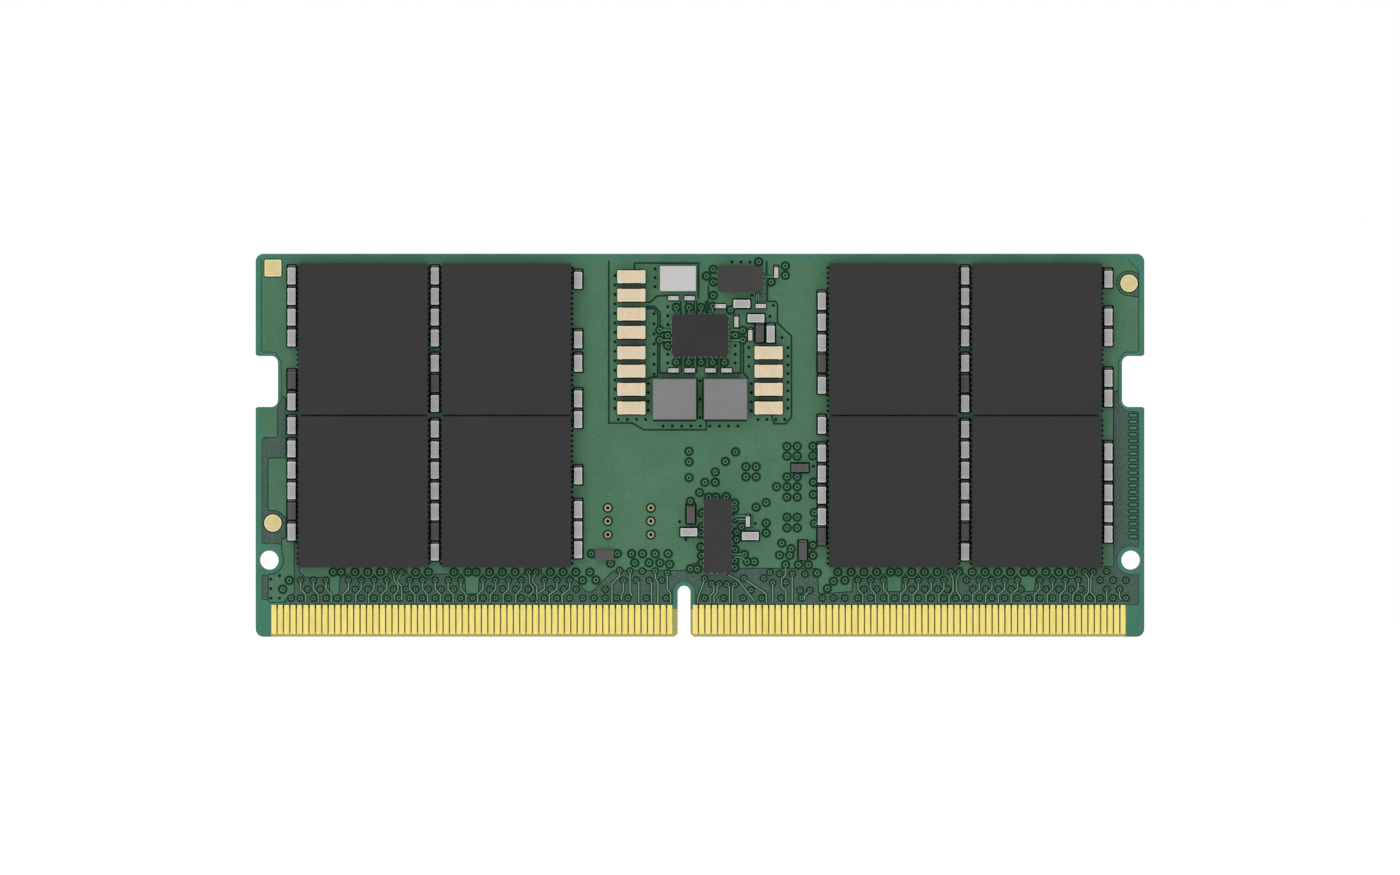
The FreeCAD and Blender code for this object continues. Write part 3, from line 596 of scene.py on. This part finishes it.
fanOut = {
    # rows of vias between the packages and the contacts, as (first x, count) runs one millimetre apart
    5.07: [(-28.72, 1), (-28.1, 1), (-27.02, 3), (-22.27, 2), (-19.26, 1), (-18.16, 1), (-17.53, 1),
           (-16.48, 3), (-11.72, 3), (-8.62, 1), (10.8, 1), (11.84, 3), (14.92, 1), (15.54, 1), (16.58, 3),
           (21.32, 4), (25.4, 1), (26.05, 1), (27.09, 3)],
    4.43: [(-31.28, 3), (-27.53, 4), (-22.73, 5), (-17.0, 4), (-12.2, 3), (12.37, 3), (16.1, 4), (20.86, 5),
           (26.61, 4), (31.35, 3)],
    3.72: [(-30.74, 2), (-27.0, 5), (-22.27, 4), (-16.46, 4), (-11.69, 3), (-7.42, 1), (12.84, 2), (16.6, 3),
           (19.37, 1), (21.36, 4), (25.15, 1), (27.1, 3), (29.85, 1), (31.85, 2)],
    3.03: [(-32.02, 1), (-31.28, 3), (-28.42, 1), (-27.52, 4), (-23.6, 1), (-22.73, 5), (-17.8, 1),
           (-17.0, 4), (-13.1, 1), (-12.2, 3), (-9.18, 1), (-8.3, 1), (-7.42, 1), (-6.53, 1), (-5.65, 1),
           (-4.2, 1), (-2.65, 1), (0.35, 1), (1.84, 1), (3.38, 1), (4.83, 1), (6.35, 1), (7.95, 1),
           (9.58, 1), (10.45, 1), (11.34, 1), (12.36, 3), (15.24, 1), (16.1, 4), (20.0, 1), (20.86, 5),
           (25.74, 1), (26.61, 4), (30.51, 1), (31.35, 3)],
}
ringedVias = [
    # vias inside copper, each in its own dark clearance
    (-8.5, 6.51), (-6.48, 6.51), (-5.35, 6.51), (-4.5, 6.51), (-3.51, 6.51), (-2.5, 6.51), (-7.0, 5.76),
    (-5.11, 5.8), (-3.99, 5.8), (-3.14, 5.8), (-2.37, 5.68), (-9.2, 4.42), (-8.15, 4.45), (-0.75, 10.61),
    (-0.75, 5.32), (-0.21, 5.31), (-32.17, 4.42), (-32.68, 3.72), (2.72, 5.97), (2.72, 5.43), (3.7, 5.88),
    (4.25, 5.88), (6.23, 6.4), (7.03, 6.38), (6.7, 5.65), (7.71, 5.64), (8.48, 5.64), (8.85, 6.38),
    (9.17, 5.0), (9.97, 3.77), (10.45, 4.35), (11.34, 4.42), (-0.86, 14.53), (-0.86, 13.7), (-0.86, 12.47),
    (2.78, 14.48), (1.99, 13.73), (1.19, 12.91), (0.37, 12.1), (1.19, 12.1), (3.59, 13.33), (4.4, 13.33),
    (3.59, 12.53), (4.4, 12.53), (-0.03, 11.3), (0.67, 10.94), (1.24, 10.94), (2.06, 10.98), (4.4, 10.15),
    (5.18, 10.52), (5.18, 8.91), (5.18, 8.13), (6.4, 7.33), (3.48, 6.45), (5.99, 11.75), (8.84, 14.93),
    (8.84, 14.18), (8.84, 7.17), (6.81, 14.91), (7.61, 14.91), (6.81, 14.16), (7.61, 14.16), (6.81, 12.53),
    (7.61, 12.53), (6.81, 11.75), (7.61, 11.75), (6.81, 10.94), (7.61, 10.94), (6.81, 9.36), (7.61, 9.36),
    (6.81, 8.53), (7.61, 8.53), (1.03, 28.78), (0.51, 28.26), (1.03, 27.79), (1.03, 26.74), (4.59, 29.36),
    (6.68, 29.04), (6.68, 28.31), (5.58, 27.79), (-1.85, 25.8), (-0.86, 25.8), (0.09, 25.8), (0.98, 25.9),
    (-1.85, 21.5), (-0.91, 21.5), (0.09, 21.5), (0.98, 21.5), (1.92, 21.5), (2.39, 25.59), (-3.16, 24.02),
    (-3.16, 23.23), (-2.53, 23.6), (-2.53, 22.81), (3.36, 24.0), (3.36, 23.25), (2.76, 23.62), (2.71, 10.47),
    (2.71, 10.02), (0.155, 9.69), (2.71, 9.24), (0.155, 8.61), (3.25, 8.61), (0.07, 8.07), (2.85, 8.21),
    (2.85, 7.63), (0.07, 7.04), (2.76, 6.82), (0.11, 6.37), (0.155, 5.79), (8.88, 12.11), (8.88, 11.14),
    (8.95, 9.73), (8.95, 8.87), (7.13, 6.9),
]
smallVias = [
    # vias on bare laminate that are not in the rows
    (-6.3, 5.2), (-5.48, 5.15), (-4.51, 5.15), (-3.51, 5.15), (-2.57, 5.0), (-6.0, 4.42), (-4.98, 4.43),
    (-3.97, 4.42), (-3.0, 4.43), (0.36, 4.55), (0.91, 4.14), (1.5, 4.14), (2.12, 4.12), (2.75, 4.12),
    (3.43, 4.59), (3.99, 3.66), (4.98, 4.59), (5.47, 5.04), (6.22, 4.93), (5.69, 4.23), (6.72, 4.27),
    (7.22, 4.93), (8.23, 4.91), (7.83, 3.63), (8.59, 3.63), (-23.97, 5.08), (-23.36, 5.06), (-13.45, 5.06),
    (-12.85, 5.06), (19.63, 5.1), (20.3, 5.08), (30.13, 5.1), (30.79, 5.1), (31.85, 5.13),
]
looseTracks = {
    # copper tracks round the slot and to the chips, each a path of corners
    "front": [
        [(-6.3, 5.0), (-6.3, 4.75), (-6.9, 4.15), (-6.9, 2.62)], [(-5.48, 5.0), (-5.48, 3.5), (-5.3, 3.2)],
        [(-4.95, 4.4), (-4.8, 4.25), (-4.8, 2.62)], [(-3.97, 4.4), (-3.8, 4.2), (-3.8, 2.62)],
        [(-3.51, 5.0), (-3.5, 4.6), (-3.3, 4.25), (-3.3, 2.62)],
        [(-2.57, 4.9), (-2.57, 3.75), (-2.3, 3.4), (-2.3, 2.62)],
        [(-6.0, 4.3), (-6.0, 3.55), (-6.15, 3.3), (-6.15, 2.9)], [(0.36, 4.5), (-0.15, 3.1), (-0.2, 2.62)],
        [(0.91, 4.1), (1.08, 3.95), (1.08, 3.5), (0.8, 3.2), (0.8, 2.62)],
        [(1.5, 4.1), (1.33, 3.9), (1.33, 3.5), (1.1, 3.2), (1.1, 2.62)],
        [(2.12, 4.1), (2.3, 3.95), (2.3, 2.62)], [(2.75, 4.1), (2.55, 3.9), (2.55, 2.62)],
        [(2.2, 4.86), (3.0, 4.42), (4.3, 2.75)], [(3.43, 4.55), (5.2, 3.35), (5.2, 2.62)],
        [(5.69, 4.2), (5.69, 2.62)],
        [(6.7, 5.6), (6.7, 4.85), (6.38, 4.55), (6.38, 3.95), (6.72, 3.6), (6.72, 2.62)],
        [(7.22, 4.9), (7.22, 2.62)], [(8.59, 3.6), (8.2, 3.25), (8.2, 2.9)],
        [(-23.97, 5.0), (-23.97, 4.45), (-23.65, 4.0), (-23.65, 3.6), (-23.95, 3.25), (-23.95, 2.9)],
        [(-23.36, 5.0), (-23.68, 4.5), (-23.68, 4.3), (-23.38, 3.95), (-23.35, 2.9)],
        [(-13.45, 5.0), (-13.35, 4.7), (-13.35, 4.2), (-13.05, 3.85), (-13.05, 3.6), (-13.45, 3.1)],
        [(-12.85, 5.0), (-13.1, 4.6), (-13.1, 4.3), (-12.8, 3.95), (-12.75, 2.9)],
        [(19.63, 5.0), (19.82, 4.5), (19.82, 3.6), (19.5, 3.15), (19.5, 2.62)],
        [(20.3, 5.0), (20.08, 4.5), (20.08, 3.6), (20.4, 3.15), (20.4, 2.9)],
        [(30.13, 5.0), (30.42, 4.6), (30.42, 3.5), (30.1, 3.1), (30.1, 2.62)],
        [(30.79, 5.0), (30.6, 4.6), (30.6, 3.5), (30.95, 3.1), (30.95, 2.62)], [(31.85, 3.7), (31.85, 2.62)],
        [(32.85, 3.7), (32.85, 3.1), (33.0, 2.9)], [(2.6, 9.47), (3.6, 9.47)], [(2.6, 9.2), (3.6, 9.2)],
        [(2.6, 6.46), (3.48, 6.46)], [(2.6, 6.25), (3.2, 6.25), (3.7, 5.88)], [(5.0, 28.2), (5.8, 28.2)],
        [(4.43, 26.3), (4.43, 26.9)], [(4.6, 26.3), (4.6, 26.9)], [(-3.16, 24.02), (-2.2, 24.02)],
        [(-3.16, 23.23), (-2.2, 23.23)], [(2.18, 24.02), (3.36, 24.02)], [(2.18, 23.23), (3.36, 23.23)],
        [(2.18, 23.66), (2.76, 23.66)], *[[(x, 25.32), (x, 25.72)] for x in (-1.85, -0.86, 0.09, 0.98)],
        *[[(x, 21.55), (x, 21.88)] for x in (-1.85, -0.91, 0.09, 0.98, 1.92)],
    ],
    "back": [[(x, 5.0), (x, 4.6), (x + 0.3, 4.2), (x + 0.3, 2.62)]
             for x in (-6.3, -5.48, -4.51, -3.51, 3.43, 5.47, 7.22)],
}
jogs = [
    # tracks that drop from the upper small row: (first x, count, sideways step)
    (-31.28, 3, 0.4), (-27.53, 4, -0.42), (-22.73, 5, 0.4), (-17.0, 4, -0.42), (-12.2, 3, -0.6),
    (12.37, 3, 0.38), (16.1, 4, -0.4), (21.86, 4, -0.5), (26.61, 4, -0.42),
]
copperGaps = {
    # gaps that part the copper of the power supply
    "front": [
        [(-7.14, 29.45), (-7.14, 16.74), (-5.3, 16.74), (-4.42, 16.21), (0.5, 16.21), (0.5, 16.95)],
        [(-5.12, 28.7), (-5.12, 29.27), (-0.12, 29.27), (-0.12, 26.5)],
        [(-4.2, 26.2), (-3.89, 26.2), (-3.37, 26.69), (-2.48, 26.74)],
        [(-4.2, 25.88), (-3.53, 25.86), (-3.12, 25.4), (-3.12, 24.2)],
        [(-4.2, 25.72), (-3.6, 25.7), (-3.3, 25.3), (-3.3, 24.2)],
        [(-3.32, 22.97), (-3.32, 20.4), (-3.94, 20.3), (-4.2, 20.09)],
        [(-3.16, 22.97), (-3.16, 20.67), (-2.43, 20.67)], [(3.18, 23.07), (3.18, 20.67), (2.55, 20.67)],
        [(3.39, 23.07), (3.39, 20.67), (3.8, 20.25)], [(5.22, 29.45), (5.22, 28.4)],
        [(0.66, 27.5), (0.66, 26.4), (0.35, 25.95)],
        [(5.27, 27.6), (5.27, 26.27), (5.9, 26.27), (6.06, 26.06), (6.06, 24.59), (7.16, 23.55),
         (7.16, 17.21), (6.68, 16.69), (5.79, 16.69), (5.59, 17.37)], [(-3.65, 16.93), (-0.35, 16.93)],
        [(0.35, 16.93), (3.65, 16.93)], [(-0.22, 17.0), (-0.22, 20.3)], [(0.22, 17.0), (0.22, 20.3)],
        *[[(x, 25.3), (x, 26.3)] for x in (-1.5, -1.1, -0.45, -0.25, 0.45, 0.6)],
        *[[(x, 20.7), (x, 21.9)] for x in (-1.45, -1.2, -0.5, -0.25, 0.45, 0.7, 1.4, 1.6)],
    ],
    "back": [[(x, 29.0), (x, 13.4)] for x in (-4.8, 0.0, 4.8)] + [[(-8.6, 12.6), (8.6, 12.6)]],
}
tentedVias = [
    # small filled vias in columns, as (x, first z, last z, count); the rows are (first x, last x, z, count)
    (-6.66, 28.3, 17.9, 15), (-3.52, 28.83, 27.42, 3), (-3.6, 25.3, 20.56, 7), (-4.05, 19.83, 17.73, 4),
    (-2.53, 25.85, 24.44, 3), (-2.53, 22.13, 21.45, 2), (2.76, 22.8, 21.45, 3), (3.82, 22.65, 21.19, 3),
    (4.02, 19.83, 17.7, 4), (6.89, 22.65, 17.9, 8), (0.0, 20.04, 17.16, 3), (-33.62, 4.52, 3.03, 3),
    (-32.93, 4.79, 3.03, 2),
]
tentedRows = [(-6.4, -4.26, 17.02, 4), (4.54, 6.63, 17.02, 4), (-2.9, 2.97, 16.5, 9), (2.5, 3.91, 29.36, 3)]
looseDots = [(5.74, 25.95), (5.48, 25.1), (6.42, 23.44), (4.07, 26.74), (4.33, 8.88), (-1.6, 9.02),
             (-1.1, 7.63), (8.88, 13.35)]
viaRadii = {
    # clearance and land circles of each kind, from the outside in
    "ringed": ([0.37, 0.21], [0.215, 0.185, 0.1]), "small": ([0.3, 0.18], [0.185, 0.16, 0.09]),
    "tented": [0.1, 0.08],
}
backViasBelow = 12
# widths of the gaps and tracks, and the heights where a jog starts, bends twice and ends
strips = {"gap": 0.09, "track": 0.08, "jogHeights": (4.43, 3.75, 3.3, 2.62)}
# round small parts and packages: extra painted shade above an upright part, heights of the solder strip,
# and the dots of painted shade
outline = {"upperExtra": 0.17, "apron": (0.06, 0.2), "apronInset": 0.04, "shadeDotRadius": 0.095, "shadeDotPitch": 0.4,
           "shadeDotOffset": 0.075}
# a column of short bars beside the card's right end
bars = {"x": 33.92, "first": 7.85, "pitch": 0.5, "count": 20, "length": 0.6, "width": 0.19,
        "corner": 0.08}


def circles(layer, radii, finishOf, places):
    # flat circles inside one another about each place, from the outer radius to the disc in the middle
    if len(places):
        plate(layer, circle(radii[0]), [finishOf[0]] + finishOf, places, 0.012,
              [radius - radii[0] for radius in radii[1:]])


def lowerEdge():
    # the copper's lower edge as a height over x: level runs and slopes, bulging round the vias level with it
    corners = np.array(pour["lower"])
    xs = np.arange(corners[0, 0], corners[-1, 0], pour["pitch"])
    base = np.interp(xs, corners[:, 0], corners[:, 1])
    away = np.abs(xs[:, None] - rowOf(fanOut[pour["bulgeMiddle"]])[None, :]).min(1)
    bulge = pour["bulgeMiddle"] - np.sqrt(np.clip(pour["bulge"] ** 2 - away ** 2, 0, None))
    level = np.isclose(base, pour["bulgeAt"], atol=0.01) & (away < pour["bulge"])
    return np.stack([xs, np.where(level, np.minimum(base, bulge), base)], 1)


# gold marks: corner of the square one, widths of the dark clearance and of the band of painted highlight
# inside the edge, and the copper's opening round the upper round one
marks = {"corner": 0.065, "clear": 0.08, "edgeHighlight": 0.06, "openRadius": 0.95, "openFrom": 60, "openTo": 268,
         "openRight": 34.33, "openRises": (-1.04, 0.7), "openHigherThan": 20}
collar = {"clearance": [0.39, 0.2], "ring": [0.24, 0.15]}


def goldMarks(sideName, layers):
    # A raised face with a light edge of painted highlight and a dark clearance on each alignment mark, and a
    # gold ring in a dark clearance on each plated hole's collar. The upper round mark is in an opening of
    # the
    # copper: an arc closed by the copper's right side.
    boxes = solidBoxes(f"fiducial_marks_{sideName}")
    widths = (boxes[:, 1] - boxes[:, 0])[:, 0]
    for (x, z), width in zip(boxes.mean(1)[:, [0, 2]], widths):
        square = width == widths.min()
        shape = roundedRectangle(width, width, marks["corner"]) if square else circle(width / 2, 40)
        plate(layers["shade"], shape, [0, 0], [(x, z)], marks["clear"])
        plate(layers["mark"], shape, [0, 0, 1], [(x, z)], 0.004, [-marks["edgeHighlight"]])
        if z > marks["openHigherThan"] and not square:
            right = [(marks["openRight"], z + rise) for rise in marks["openRises"]]
            bend = arc(x, z, marks["openRadius"], marks["openFrom"], marks["openTo"], 24)
            plate(layers["window"], np.concatenate([bend, right]), [0, 1], edge=0.06)
    collars = solidBoxes("plated_hole_barrels").mean(1)[:, [0, 2]]
    circles(layers["ring"], collar["clearance"], [0, 0], collars)
    circles(layers["mark"], collar["ring"], [2, 3], collars)


def boardSurface(sideName):
    layers = {level: {"height": maskFace + row[0], "side": sides[sideName], "parts": []}
              for level, row in levels.items()}

    contacts = np.sort(solidBoxes(f"edge_contacts_{sideName}").mean(1)[:, 0])
    between = (contacts[1:] + contacts[:-1])[np.diff(contacts) < 0.9] / 2           # not across the key slot
    half = gaps["width"] / 2
    # between contacts: the laminate down in the valley, and above it, from just under the mask's edge, a
    # dark tick of painted shade
    for level, low, top in (("valley", gaps["low"], gaps["middle"]),
                            ("bare", gaps["middle"] - gaps["lap"], gaps["top"])):
        plate(layers[level], box2(-half, low, half, top), [0, 0], [(x, 0) for x in between], 0.005)
    for area in bare["areas"]:
        shape = rounded(np.concatenate(area), 0.1)
        joint = np.isclose(shape[:, 0], keySlot["x"], atol=0.06) & (shape[:, 1] > keySlot["z"] + 0.8)
        plate(layers["bare"], shape, [np.where(joint, 1, 0), 1], edge=0.05)     # areas meet without a line
    # the copper's edge is a thin line beside the card's ends, nothing along its top, and dark elsewhere
    outside = np.concatenate([lowerEdge(), rounded(np.concatenate(pour["outside"]), 0.12)])
    x, z = ((outside + np.roll(outside, -1, 0)) / 2).T
    atEnd = (np.abs(x) > pour["ends"]) & (z > pour["endsFrom"])
    edgeFinish = np.where(z > pour["top"], 1, np.where(atEnd, 0, 2))
    plate(layers["pour"], outside, [edgeFinish, 3], edge=0.08)
    for left, low, right, top in bare["blocks"]:
        shape = box2(left, low, right, top, 0.12)
        plain = (shape[:, 0] < left + 0.1) | (shape[:, 1] > top - 0.1)         # two sides of the left block
        plate(layers["pour"], shape, [np.where(plain & (left < 0), 1, 2), 3], edge=0.06)

    # painted shade: a dark outline round each small part, reaching higher above an upright one, which also
    # has a strip of solder at its upper end, and dark dots along both sides of each package
    shade = layers["shade"]
    for boxes, margin in partBoxes[sideName]:
        size = np.round((boxes[:, 1] - boxes[:, 0])[:, [0, 2]], 2)
        for length, width in np.unique(size, axis=0):
            middle = boxes[(size == (length, width)).all(1)].mean(1)[:, [0, 2]]
            top = margin + outline["upperExtra"] if width > length else margin
            x, z = length / 2, width / 2
            plate(shade, box2(-x - margin, -z - margin, x + margin, z + top, 0.1), [0, 0], middle, 0.02)
            if width > length:
                low, high = outline["apron"]
                inset = outline["apronInset"]
                plate(shade, box2(-x + inset, z + low, x - inset, z + high, inset), [1, 1], middle, 0.01)
    shadeDots = []
    for number in range(1, package["count"] + 1):
        low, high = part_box(f"memory_mould_{sideName}_{number}")
        run = np.arange(low.z / mm + 0.3, high.z / mm - 0.2, outline["shadeDotPitch"])
        columns = (low.x / mm - outline["shadeDotOffset"], high.x / mm + outline["shadeDotOffset"])
        shadeDots += [(x, z) for x in columns for z in run]
    plate(shade, circle(outline["shadeDotRadius"], 8), [0, 0], shadeDots, 0.02)

    upper, *lower = fanOut
    ringed = [(x, upper) for x in rowOf(fanOut[upper])] + ringedVias
    small = [(x, z) for z in lower for x in rowOf(fanOut[z])] + smallVias
    tented = [(x, z) for x, first, last, count in tentedVias for z in np.linspace(first, last, count)]
    tented += [(x, z) for first, last, z, count in tentedRows for x in np.linspace(first, last, count)]
    tented += looseDots
    if sideName == "back":
        ringed, tented = [(x, z) for x, z in ringed if z < backViasBelow], []
    for kind, places in (("ringed", ringed), ("small", small)):
        clearance, land = viaRadii[kind]
        circles(layers["ring"], clearance, [0, 0], places)
        circles(layers["land"], land, [0, 1, 2], places)
    circles(layers["land"], viaRadii["tented"], [2, 2], tented)

    for path in copperGaps[sideName]:
        plate(layers["gap"], alongPath(path, strips["gap"]), [0, 0], edge=0.02)
    paths = list(looseTracks[sideName])
    for first, count, step in jogs:
        start, bendFrom, bendTo, end = strips["jogHeights"]
        across = step * sides[sideName]
        paths += [[(x, start), (x, bendFrom), (x + across, bendTo), (x + across, end)]
                  for x in first + np.arange(count)]
    for path in paths:
        plate(layers["track"], alongPath(path, strips["track"]), [0, 1], edge=0.07)

    if sideName == "front":
        for area in bare["windows"]:
            plate(layers["window"], box2(*area, 0.06), [0, 1], edge=0.03)
        rest = bars["first"] + bars["pitch"] * np.arange(bars["count"])
        bar = roundedRectangle(bars["length"], bars["width"], bars["corner"])
        plate(layers["pour"], bar, [2, 1], [(bars["x"], z) for z in rest], 0.1)
    goldMarks(sideName, layers)

    for level, (height, name, finishNames, slot) in levels.items():
        if layers[level]["parts"]:
            makePiece(f"{name}_{sideName}", layers[level]["parts"], finishNames)


for sideName in sides:
    boardSurface(sideName)
print("board surface made")

nodeFinishes = {
    # finish of each CAD node that stays, where {} stands for both sides
    "circuit_card": "laminateEdge", "solder_mask_{}": "maskBorder", "fiducial_marks_{}": "markGold",
    "plated_hole_barrels": "markGold", "component_pads_{}": "padGold",
    "memory_substrates_{}": "packageSubstrate", "memory_dies_{}": "siliconDie", "chip_dies": "siliconDie",
    "memory_solder_balls_{}": "solderMetal", "solder_joints_{}": "solderMetal",
    "power_chip_leads": "leadTin", "hub_chip_leads": "leadTin", "clock_chip_leads": "leadTin",
    "inductor_windings": "windingCopper", "inductor_terminals": "leadTin",
}
for pattern, finishName in nodeFinishes.items():
    for node in {pattern.format(side) for side in sides}:
        nodes[node].data.materials.clear()
        nodes[node].data.materials.append(finishes[finishName])

studio = {"floorDrop": 30.0, "floorHalf": 1500.0, "paperGrey": 0.95, "paperRough": 0.9, "paperGlow": 0.5,
          "skyStrength": 0.61, "lampWatts": 3.1, "lampSize": 0.6, "lampPlace": (-0.5, -0.7, 0.75),
          "cameraDistance": 0.7, "viewWidth": 0.10947, "viewHeightMiddle": 15.61, "filmWidth": 36.0}
floorMesh = bpy.data.meshes.new("studioFloor")
half = studio["floorHalf"]
floorMesh.from_pydata([(x * mm, y * mm, -studio["floorDrop"] * mm) for x, y in
                       ((-half, -half), (half, -half), (half, half), (-half, half))], [], [(0, 1, 2, 3)])
floor = bpy.data.objects.new("studioFloor", floorMesh)
bpy.context.scene.collection.objects.link(floor)
paper = bpy.data.materials.new("floorPaper")
paper.use_nodes = True
paperShader = paper.node_tree.nodes["Principled BSDF"]
paperShader.inputs["Base Color"].default_value = (studio["paperGrey"],) * 3 + (1,)
paperShader.inputs["Roughness"].default_value = studio["paperRough"]
paperShader.inputs["Emission Color"].default_value = (1, 1, 1, 1)
paperShader.inputs["Emission Strength"].default_value = studio["paperGlow"]
floorMesh.materials.append(paper)

scene = bpy.context.scene
scene.world = bpy.data.worlds.new("studioSky")
scene.world.use_nodes = True
skyTree = scene.world.node_tree
sky = skyTree.nodes["Background"]
sky.inputs["Color"].default_value = (1, 1, 1, 1)
seen = skyTree.nodes.new("ShaderNodeLightPath")         # the backdrop is white, and lights the card less
strength = skyTree.nodes.new("ShaderNodeMapRange")
strength.inputs["To Min"].default_value = studio["skyStrength"]
skyTree.links.new(seen.outputs["Is Camera Ray"], strength.inputs["Value"])
skyTree.links.new(strength.outputs[0], sky.inputs["Strength"])
lamp = bpy.data.objects.new("softLamp", bpy.data.lights.new("softLamp", "AREA"))
lamp.data.energy = studio["lampWatts"]
lamp.data.size = studio["lampSize"]
middle = Vector((0, 0, studio["viewHeightMiddle"] * mm))
lamp.location = studio["lampPlace"]
lamp.rotation_euler = (middle - lamp.location).to_track_quat("-Z", "Y").to_euler()
scene.collection.objects.link(lamp)

camera = bpy.data.objects.new("camera", bpy.data.cameras.new("camera"))
camera.data.sensor_width = studio["filmWidth"]
camera.data.lens = studio["filmWidth"] * studio["cameraDistance"] / studio["viewWidth"]
camera.data.clip_start, camera.data.clip_end = 0.01, 20.0
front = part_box("memory_mould_front_1")[0].y
camera.location = middle + Vector((0, front - studio["cameraDistance"], 0))
camera.rotation_euler = (np.pi / 2, 0, 0)
scene.collection.objects.link(camera)
scene.camera = camera
scene.view_settings.view_transform = "Standard"

print("scene made")
